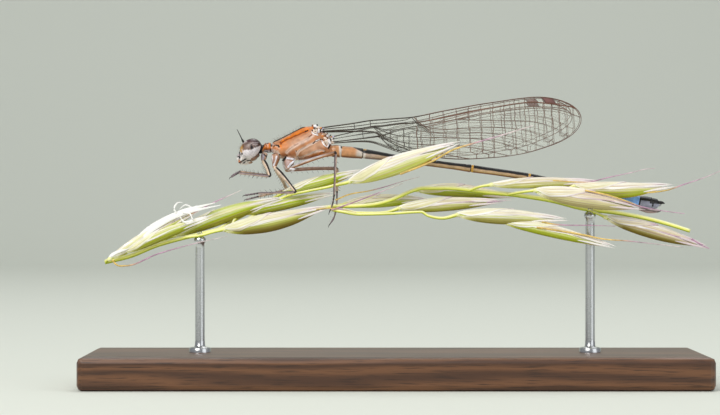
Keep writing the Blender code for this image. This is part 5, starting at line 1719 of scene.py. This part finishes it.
def husk(floret, start, end, middle, spread, scale, green, purple,
         gold=0.0, shadow=0.0, twist=0.0, point=3.0):
    """One boat-shaped scale, from start to end along a floret, centred at an angle and wrapped by spread."""
    along = np.linspace(0, 1, HUSK_ROWS)[:, None]
    across = np.linspace(-1, 1, HUSK_COLUMNS)[None, :]
    share = start + (end - start) * along + 0 * across
    wide = (0.35 + 0.65 * smoothstep(0, 0.30, along)) * (1 - along**point) ** 0.85 + 0.012
    ripple = 0.05 * np.sin(5 * along * math.pi + rng.uniform(0, 6)) * np.sign(across) * np.abs(across) ** 4
    angle = np.radians(middle + twist * along + spread * wide * (across + ripple))
    nerves = (0.5 + 0.5 * np.cos(7 * math.pi * across)) ** 2
    lift = 0.012 * nerves * (1 - along) + 0.03 * smoothstep(0.8, 1, along) + 0.015 * np.abs(across) ** 3
    radius = floret_swell(floret, share) * scale + lift
    skins = [floret_place(floret, share, angle, radius - thick).reshape(-1, 3) for thick in (HUSK_THICK, 0)]
    stripes = [
        np.interp(across, np.linspace(-1, 1, count), rng.uniform(0, 1, count)) for count in (15, 23, 33)
    ]
    vivid, bright, thin = (
        smoothstep(low, low + 0.25, stripe) for low, stripe in zip((0.40, 0.55, 0.62), stripes)
    )
    fading = smoothstep(0, 0.15, along) * smoothstep(1.0, 0.6, along + 0.25 * stripes[1])
    edge, tip = smoothstep(0.70, 0.95, np.abs(across)), smoothstep(0.80, 1.0, along)
    low_side, high_side = smoothstep(0.15, -0.75, np.sin(angle)), smoothstep(0.30, 0.90, np.sin(angle))
    middle_green = smoothstep(-0.05, 0.25, along) * smoothstep(1.02, 0.70, along)
    streaks = np.maximum(vivid, 0.7 * nerves * (stripes[2] > 0.4))
    # Painted light: the husk's underside is painted greener and less white, and its top whiter, by how each
    # side faces the light.
    veined = 0.12 + 0.3 * green**4 + 0.3 * low_side + 0.5 * streaks
    papery = (0.85 * edge + 0.95 * bright * fading) * (1 - 0.7 * low_side)
    papery = papery * (1 - 0.4 * purple) * (1 - 0.55 * green**3) + 0.7 * tip
    papery = papery + 0.45 * high_side * (1 - 0.7 * green) + 0.5 * smoothstep(0.10, 0.0, along)
    flush = 0.7 * thin * smoothstep(0.2, 0.5, along) + 1.1 * edge * smoothstep(0.3, 0.9, along)
    flush = flush + 1.3 * smoothstep(0.78, 0.94, along)
    marks = {
        "dry": 0.8 * purple * smoothstep(0.0, 0.2, along) * (1 - 0.6 * tip),
        # The glow coat is the husk's own green, and a bright yellow-green painted on its shaded underside.
        "glow": np.maximum(0.9 * min(green + 0.15, 1) * low_side, 0.5 * green**2) * (1 - tip),
        "green": green * middle_green * veined * (1 - edge),
        "white": np.clip(papery, 0, 1),
        "line": thin * fading * (0.42 + 0.45 * purple) * (1 - edge),
        "purple": np.clip(purple * flush, 0, 0.9) * smoothstep(0, 0.12, along),
        "gold": np.clip(gold * smoothstep(0.55, 0.9, -across) * smoothstep(0.15, 0.4, along), 0, 1),
        "shadow": np.clip(shadow * low_side * smoothstep(0, 0.2, along) * smoothstep(1, 0.8, along), 0, 1),
    }
    marks = {mark: np.tile((values + 0 * share).ravel(), 2) for mark, values in marks.items()}
    return np.concatenate(skins), film_faces(HUSK_ROWS, HUSK_COLUMNS), marks


def kernel(floret, green):
    """The closed spindle inside the husks."""
    share = np.linspace(0.01, 0.93, KERNEL_ROWS)[:, None] + np.zeros((1, KERNEL_COLUMNS))
    angle = ring_angles(KERNEL_COLUMNS)[None, :] + 0 * share
    narrowing = 0.86 * (1 - 0.9 * np.clip((share - 0.55) / 0.38, 0, 1) ** 1.6)
    rings = floret_place(floret, share, angle, floret_swell(floret, share) * narrowing)
    first, last = floret_place(floret, np.array([0.005, 0.935]), np.zeros(2), np.zeros(2))
    marks = {"green": green, "glow": green}
    return closed(first, rings, last), tube_faces(KERNEL_ROWS, KERNEL_COLUMNS), marks


SPIKELETS = {  # floret (base, tip, half height, bow), then green above and below, purple, gold, shadow
    "01": [(((-13.10, -0.54, -7.94), (-6.90, -0.44, -5.40), 0.42, 0.16), (0.80, 1.00, 0.10, 0.2, 0.5)),
           (((-14.10, -0.52, -8.38), (-7.50, -0.20, -4.73), 0.44, 0.10), (0.60, 0.95, 0.40, 0.1, 0.4))],
    "02": [(((-9.55, 0.40, -6.69), (-1.60, 0.30, -4.00), 0.60, 0.22), (1.00, 1.00, 0.20, 0.4, 0.7)),
           (((-4.60, 0.36, -5.05), (2.05, 0.52, -3.66), 0.46, 0.05), (0.85, 1.00, 0.30, 0.2, 0.5))],
    "03": [(((-5.88, -0.72, -6.25), (1.60, -0.72, -4.66), 0.68, -0.20), (0.30, 1.00, 0.45, 0.2, 1.0))],
    "04": [(((-1.32, 0.0, -3.46), (4.12, 0.0, -1.99), 0.46, 0.0), (1.00, 1.00, 0.12, 0.9, 0.4))],
    "05": [(((3.38, -0.62, -2.74), (11.10, -2.80, -0.04), 0.72, 0.0), (0.10, 0.62, 0.30, 1.0, 0.1))],
    "06": [(((3.10, 0.66, -4.34), (8.97, 0.66, -4.04), 0.50, 0.10), (0.40, 0.95, 0.35, 0.5, 0.0))],
    "07": [(((6.95, -0.10, -4.68), (14.34, -0.10, -4.19), 0.52, 0.08), (0.15, 0.75, 0.60, 0.1, 0.6))],
    "08": [(((8.38, 0.64, -3.31), (15.22, 0.64, -3.82), 0.50, 0.20), (0.20, 0.90, 0.60, 0.7, 0.3))],
    "09": [(((13.75, -0.62, -2.94), (21.32, -0.78, -2.72), 0.40, 0.06), (0.18, 0.55, 0.65, 0.4, 0.3)),
           (((19.80, -0.80, -3.06), (26.84, -0.98, -3.01), 0.60, -0.30), (0.18, 0.95, 0.35, 0.9, 0.3))],
    "10": [(((16.98, -1.10, -3.33), (24.63, -1.70, -4.63), 0.68, 0.0), (0.10, 0.20, 0.85, 0.5, 0.45))],
    "11": [(((11.25, -0.72, -5.11), (18.97, -0.76, -5.48), 0.58, 0.02), (0.15, 0.60, 0.30, 0.0, 0.7)),
           (((14.50, -0.74, -5.56), (22.50, -1.00, -7.43), 0.46, 0.12), (0.15, 1.00, 0.25, 0.8, 0.3))],
    "12": [(((22.21, -0.42, -5.29), (29.41, -0.42, -7.43), 0.56, 0.0), (0.25, 0.30, 1.00, 0.3, 1.0))],
}
HUSK_FINISH = painted_skin(
    "husk", (246, 240, 204),
    {"dry": (208, 180, 142), "glow": (228, 226, 84), "green": (176, 198, 0), "line": (172, 138, 92),
     "white": (255, 253, 248), "purple": (184, 142, 164), "gold": (220, 164, 34), "shadow": (124, 108, 40)},
    scale=10000.0, stretch=0.3, mottle=0.07, relief=1e-6, roughness=0.5, specular_ior_level=0.25,
)
BLADE_RADII = [0.02, 0.08, 0.075, 0.006]


def tip_blades(floret, purple):
    """The papery points in which a floret's husks end."""
    blades = []
    for angle, reach in ((1.3, 1.05), (0.4, 1.02), (-0.5, 1.06)):
        share = np.array([0.64, 0.84, reach + rng.uniform(-0.01, 0.02)])
        radius = floret_swell(floret, share) * 0.95 + np.array([-0.05, 0.0, 0.03])
        knots = floret_place(floret, share, np.full(3, angle), radius)
        blades.append(rod_part(knots, BLADE_RADII, 24, 10, flat=0.35, white=0.9, purple=0.5 * purple))
    return blades


def wrapped(floret, tones):
    """A floret's kernel in its husks, the outer ones last."""
    above, below, purple, gold, shadow = tones
    sway = rng.uniform(-8, 8)
    parts = [kernel(floret, 0.5)] + tip_blades(floret, purple)
    return parts + [
        husk(floret, 0.03, 0.96, 190 + sway, spread=75, scale=0.95, green=0.7, purple=purple, shadow=shadow),
        husk(floret, 0.04, 0.99, -50 + sway, spread=66, scale=0.97, green=below, purple=purple * 0.5,
             gold=gold, shadow=shadow, twist=22),
        husk(floret, 0.01, 1.00, 76 + sway, spread=72, scale=1.00, green=above, purple=purple, twist=-12),
        husk(floret, 0.0, rng.uniform(0.42, 0.60), 42 + sway * 2, spread=88, scale=1.05, green=below * 0.45,
             purple=purple * 0.5, shadow=shadow, twist=rng.uniform(25, 45), point=1.6),
    ]


for number, florets in SPIKELETS.items():
    nodes = [f"perch_spikelet_{number}"]
    parts = [part for floret, tones in florets for part in wrapped(floret, tones)]
    make_joined(f"spikelet_{number}", parts, HUSK_FINISH, "grass", nodes)
    parts = []
    for knots in BRANCHES[number]:
        parts.append(stalk_part(knots, [0.12, 0.10, 0.10, 0.10, 0.14], 60, 16, 5))
        # Each branch ends in a pale knob with a little painted highlight.
        parts.append(bead(knots[-1], (0.20, 0.14, 0.17), -15, pale=0.5, light=0.3))
    make_joined(f"branch_{number}", parts, STALK_FINISH, "grass", nodes)
print("spikelets:", len(SPIKELETS), "husks:", 4 * sum(len(florets) for florets in SPIKELETS.values()))

# %% [markdown]
# Most husks end in an awn, a bristle that begins golden at the husk's keel and turns purple and then pale.
# Old papery scraps still cling to the stem near its cut end, curled by drying. Both are swept lines.

# %% Awns and papery scraps
AWNS = [  # knots, first and last radius, how golden the first part is, how pale the end is
    ([(7.2, -1.75, -2.14), (9.41, -2.30, -1.28), (11.1, -2.75, -0.37), (12.35, -2.9, 0.02),
      (14.56, -3.0, 0.66), (16.81, -3.1, 1.35)], 0.075, 0.022, 0.55, 0.75),
    ([(18.4, -0.90, -2.62), (20.74, -0.85, -2.74), (22.65, -0.8, -2.35), (24.34, -0.8, -1.99),
      (25.1, -0.8, -1.80), (25.88, -0.8, -1.72)], 0.04, 0.018, 0.3, 0.6),
    ([(20.7, -1.72, -3.34), (22.3, -1.84, -3.68), (23.8, -1.88, -4.16), (24.75, -1.88, -4.52),
      (26.32, -1.85, -4.83), (27.94, -1.9, -5.04)], 0.05, 0.02, 0.5, 0.2),
    ([(24.4, -0.95, -3.58), (26.74, -1.1, -3.33), (27.94, -1.1, -2.92), (29.49, -1.1, -2.4),
      (30.66, -1.1, -1.91)], 0.05, 0.018, 0.45, 0.5),
    ([(17.6, -0.95, -5.66), (18.9, -0.9, -5.86), (20.96, -0.9, -5.9), (23.01, -0.9, -5.96)], 0.04, 0.018,
     0.2, 0.3),
    ([(17.2, -1.05, -6.05), (20.74, -1.15, -6.62), (21.99, -1.2, -6.89), (23.82, -1.2, -7.04),
      (27.94, -1.2, -7.5)], 0.06, 0.016, 0.6, 0.8),
    ([(2.20, -0.5, -4.78), (4.42, -0.8, -3.99), (5.84, -0.9, -3.43), (7.40, -0.95, -2.82)], 0.045, 0.018,
     0.0, 0.9),
    ([(2.45, 0.2, -4.05), (3.48, 0.1, -3.63), (4.90, 0.0, -3.38), (6.02, 0.0, -3.10), (7.34, 0.0, -2.69),
      (8.66, 0.0, -2.33)], 0.045, 0.014, 0.45, 0.8),
    ([(-13.95, -0.12, -8.46), (-13.5, -0.40, -8.86), (-12.94, -0.5, -8.87), (-10.59, -0.6, -8.01),
      (-8.31, -0.6, -7.35), (-5.44, -0.6, -6.69)], 0.05, 0.012, 0.2, 0.8),
    ([(-8.4, -0.3, -5.2), (-6.4, -0.3, -4.2), (-4.4, -0.3, -3.3)], 0.05, 0.012, 0.1, 0.9),
    ([(0.9, -0.8, -4.75), (2.0, -0.9, -4.65), (3.1, -0.95, -4.75), (4.0, -0.9, -4.95)], 0.04, 0.015, 0.5,
     0.4),
    ([(13.6, -0.2, -4.22), (14.6, -0.25, -4.12), (15.4, -0.3, -4.05)], 0.03, 0.012, 0.0, 0.9),
    ([(28.6, -0.5, -6.9), (29.3, -0.5, -7.35), (29.9, -0.5, -7.6)], 0.05, 0.02, 0.0, 0.1),
]
AWN_FINISH = painted_skin(
    "awn", (190, 144, 174), {"gold": (230, 196, 112), "pale": (236, 226, 218)}, roughness=0.5
)
AWN_POINTS = 60
AWN_FULLNESS = 1.3  # how much thicker than listed an awn is grown
share = np.linspace(0, 1, AWN_POINTS)
lines = []
for knots, first, last, golden, pale_end in AWNS:
    marks = {"gold": smoothstep(golden + 0.1, golden - 0.1, share) * (golden > 0),
             "pale": pale_end * smoothstep(0.55, 0.9, share)}
    lines.append((smooth_path(knots, AWN_POINTS), AWN_FULLNESS * (first + (last - first) * share), marks))
run_tree("awns", net_mesh("awn_lines", lines), SWEEP, AWN_FINISH, "grass", Sides=7)

SCRAPS = [  # knots and half width of papery ribbons
    ([(-12.65, -0.5, -7.32), (-11.1, -0.5, -6.08), (-8.82, -0.5, -4.93), (-6.32, -0.5, -4.23)], 0.20),
    ([(-12.28, -0.6, -7.5), (-11.18, -0.6, -6.4), (-9.12, -0.6, -5.19), (-5.9, -0.6, -4.40)], 0.16),
    ([(-9.12, -0.6, -5.15), (-9.36, -0.7, -4.66), (-9.1, -0.75, -4.25), (-8.72, -0.7, -4.22)], 0.07),
    ([(-8.97, -0.7, -5.22), (-8.58, -0.9, -5.66), (-8.01, -0.95, -5.50), (-8.14, -0.9, -5.0)], 0.07),
    ([(-8.82, -0.7, -4.93), (-8.19, -0.8, -5.07), (-8.06, -0.85, -5.41), (-8.4, -0.85, -5.6)], 0.06),
    ([(-9.0, -0.4, -4.7), (-8.5, -0.4, -4.4), (-8.0, -0.4, -4.6), (-7.7, -0.4, -4.4)], 0.05),
    ([(-13.4, -0.5, -7.95), (-12.9, -0.6, -7.35), (-12.0, -0.6, -6.95)], 0.09),
    ([(-14.3, -0.5, -8.4), (-13.8, -0.65, -8.0), (-12.7, -0.7, -7.6)], 0.12),
]
PAPER_FINISH = painted_skin(
    "papery_husk", (255, 254, 250), {}, stretch=0.2, mottle=0.1, relief=5e-6, roughness=0.6
)
parts = []
for knots, half in SCRAPS:
    parts.append(rod_part(knots, [half * 0.3, half, half * 0.8, half * 0.1], 60, 14, flat=0.22))
make_joined("papery_scraps", parts, PAPER_FINISH, "grass")
print("awns:", len(AWNS), "scraps:", len(SCRAPS))

# %% [markdown]
# ## Stand
# A museum sets so light a piece on two thin steel pins in a block of oiled wood. The pins are turned: a
# collar where they enter the wood, a slim shank, and a rounded head on which the stem lies, held by three
# turns of fine wire.

# %% Wood and pins
def build_wood_finish():
    material, tree, shader = new_finish("oiled_wood", roughness=0.42, coat_weight=0.12, coat_roughness=0.3)
    lengthways = object_place(tree, (0.10, 1.0, 1.0))
    sway = noise(tree, lengthways, 260.0, 3.0, "Color")
    bent = add(tree, "ShaderNodeMix", {0: 0.003, 4: lengthways, 5: sway}, data_type="VECTOR").outputs[1]
    wave = {"Vector": bent, "Scale": 420.0, "Distortion": 5.0, "Detail": 3.0}
    rings = add(tree, "ShaderNodeTexWave", wave, bands_direction="Z").outputs["Fac"]
    pores = noise(tree, object_place(tree, (0.05, 1.0, 1.0)), 9000.0, 2.0)
    colour = colour_mix(tree, rings, shade(74, 46, 28), shade(112, 74, 46))
    flecks = mapped(tree, pores, (0.52, 0.70), (0.0, 0.75))
    colour = colour_mix(tree, flecks, colour, shade(44, 26, 16))
    tree.links.new(colour, shader.inputs["Base Color"])
    add_relief(tree, shader, pores, -2e-5, 0.6)
    return material


def build_steel_finish():
    material, tree, shader = new_finish("turned_steel", base_color=(0.60, 0.61, 0.62, 1.0), metallic=1.0)
    lathe_marks = noise(tree, object_place(tree, (0.1, 0.1, 1.0)), 16000.0, 2.0)
    tree.links.new(mapped(tree, lathe_marks, (0.3, 0.7), (0.20, 0.28)), shader.inputs["Roughness"])
    add_relief(tree, shader, lathe_marks, 6e-7, 0.6)
    return material


WOOD_FINISH, STEEL_FINISH = build_wood_finish(), build_steel_finish()
for slot in bpy.data.objects["stand_base"].material_slots:
    slot.material = WOOD_FINISH
PIN_COLUMNS = 48
PIN_DROP = 0.12  # how far below the stem's middle a pin ends
WIRE_TURNS, WIRE_RADIUS, WIRE_LOOP, WIRE_WIDTH = 3, 0.03, 0.19, 0.4
WIRE_POINTS = 110


def turned_pin(x, top):
    """A pin's closed outline: collar, shank and rounded head, as (height above the base, radius)."""
    tall = top - BASE_TOP
    collar = [(-0.3, 0.80), (0.0, 0.80), (0.28, 0.80), (0.36, 0.74), (0.40, 0.62), (0.42, 0.44), (0.50, 0.38)]
    head = [(0.9, 0.34), (0.6, 0.36), (0.52, 0.42), (0.36, 0.45), (0.2, 0.42), (0.1, 0.34), (0.03, 0.20)]
    outline = collar + [(0.9, 0.36)] + [(tall - below, radius) for below, radius in head]
    path = np.array([(x, 0.0, BASE_TOP + height) for height, _ in outline])
    radii = [radius for _, radius in outline]
    return tube_points(path, radii, radii, PIN_COLUMNS, up=(0, 1, 0)), tube_faces(len(outline), PIN_COLUMNS)


stem_line = np.array(STEM)
wires = []
for label in SIDES:
    low, high = (np.array(corner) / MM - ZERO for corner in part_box(f"stand_rod_{label}"))
    pin_x = (low[0] + high[0]) / 2
    stem_z = float(np.interp(pin_x, stem_line[:, 0], stem_line[:, 2]))
    points, faces = turned_pin(pin_x, stem_z - PIN_DROP)
    make_piece(f"pin_{label}", points, faces, STEEL_FINISH, "stand_steel", [f"stand_rod_{label}"])
    turn = np.linspace(0, WIRE_TURNS * math.tau, WIRE_POINTS)
    across, along = WIRE_LOOP * np.cos(turn), pin_x - WIRE_WIDTH / 2 + WIRE_WIDTH * turn / turn[-1]
    wires.append((np.stack([along, across, stem_z + WIRE_LOOP * np.sin(turn)], axis=1), WIRE_RADIUS, {}))
run_tree("stem_wires", net_mesh("wire_lines", wires), SWEEP, STEEL_FINISH, "stand_steel", Sides=8)
print("pins: 2, wire turns:", WIRE_TURNS * len(wires))

# %% [markdown]
# ## Camera, floor and light
# The insect is seen level and square on from its left, from a quarter of a metre away with a long lens,
# which keeps its proportions true. The floor is one pale sheet that curves up behind, so no edge shows.

# %% Camera and stage
PIXELS_PER_MM = 13.6
FRAME_WIDE, FRAME_HIGH = 720, 415
THORAX_PIXEL = (302, 145)
CAMERA_FAR = 0.25
SENSOR = 36.0
centre = world(((FRAME_WIDE / 2 - THORAX_PIXEL[0]) / PIXELS_PER_MM, 0,
                (THORAX_PIXEL[1] - FRAME_HIGH / 2) / PIXELS_PER_MM))
eye = bpy.data.cameras.new("camera")
eye.sensor_width = SENSOR
eye.lens = SENSOR * CAMERA_FAR / (FRAME_WIDE / PIXELS_PER_MM * MM)
eye.clip_start, eye.clip_end = 0.005, 5.0
camera = placed("camera", eye)
camera.location = (centre[0], centre[1] - CAMERA_FAR, centre[2])
camera.rotation_euler = (math.pi / 2, 0, 0)
bpy.context.scene.camera = camera
print("lens", round(eye.lens), "mm, camera", round(camera.location.z / MM, 1), "mm above the floor")

FLOOR_HALF, FLOOR_FRONT, FLOOR_TOP = 0.8, -0.5, 0.7  # metres, as all of the stage
BEND_FROM, BEND_RADIUS, BEND_STEPS = 0.50, 0.16, 24
FLOOR_COLOUR = (0.74, 0.77, 0.69, 1.0)


def build_floor():
    """A sheet that runs back flat, then sweeps up behind in a quarter round."""
    turn = np.linspace(0, math.pi / 2, BEND_STEPS)
    bend = [(BEND_FROM + BEND_RADIUS * math.sin(a), BEND_RADIUS * (1 - math.cos(a))) for a in turn]
    profile = [(FLOOR_FRONT, 0.0)] + bend + [(BEND_FROM + BEND_RADIUS, FLOOR_TOP)]
    points = [(x, y, z) for y, z in profile for x in (-FLOOR_HALF, FLOOR_HALF)]
    faces = [(2 * i, 2 * i + 1, 2 * i + 3, 2 * i + 2) for i in range(len(profile) - 1)]
    data = bpy.data.meshes.new("floor")
    data.from_pydata(points, [], faces)
    data.shade_smooth()
    data.materials.append(new_finish("floor", base_color=FLOOR_COLOUR, roughness=0.7)[0])
    floor = placed("floor", data)


build_floor()
MODEL, BACKDROP = (0.0, 0.0, 0.014), (0.0, 0.64, 0.08)
LIGHTS = {  # place, size, power, colour, where it points
    "key": ((-0.16, -0.26, 0.26), 0.20, 1.06, (1.0, 0.98, 0.95), MODEL),
    "fill": ((0.26, -0.22, 0.12), 0.26, 0.25, (0.95, 0.98, 1.0), MODEL),
    "back": ((0.05, 0.14, 0.34), 0.26, 0.40, (1.0, 1.0, 1.0), MODEL),
    "backdrop": ((0.0, 0.36, 0.50), 0.24, 0.60, (1.0, 1.0, 1.0), BACKDROP),
}
SKY_COLOUR, SKY_STRENGTH = (0.92, 0.95, 1.0, 1.0), 0.325
for name, (place, size, power, colour, target) in LIGHTS.items():
    light = bpy.data.lights.new(name, "AREA")
    light.energy, light.size, light.color = power, size, colour
    aim = np.array(target) - np.array(place)
    aim /= np.linalg.norm(aim)
    lamp = placed(name, light)
    lamp.location = place
    lamp.rotation_euler = (math.acos(-aim[2]), 0, math.atan2(aim[1], aim[0]) - math.pi / 2)
studio = bpy.data.worlds.new("studio")
studio.use_nodes = True
sky = studio.node_tree.nodes["Background"]
sky.inputs["Color"].default_value = SKY_COLOUR
sky.inputs["Strength"].default_value = SKY_STRENGTH
bpy.context.scene.world = studio
bpy.context.scene.view_settings.view_transform = "Standard"
bpy.context.scene.cycles.transparent_max_bounces = 32
print("lights:", ", ".join(LIGHTS))
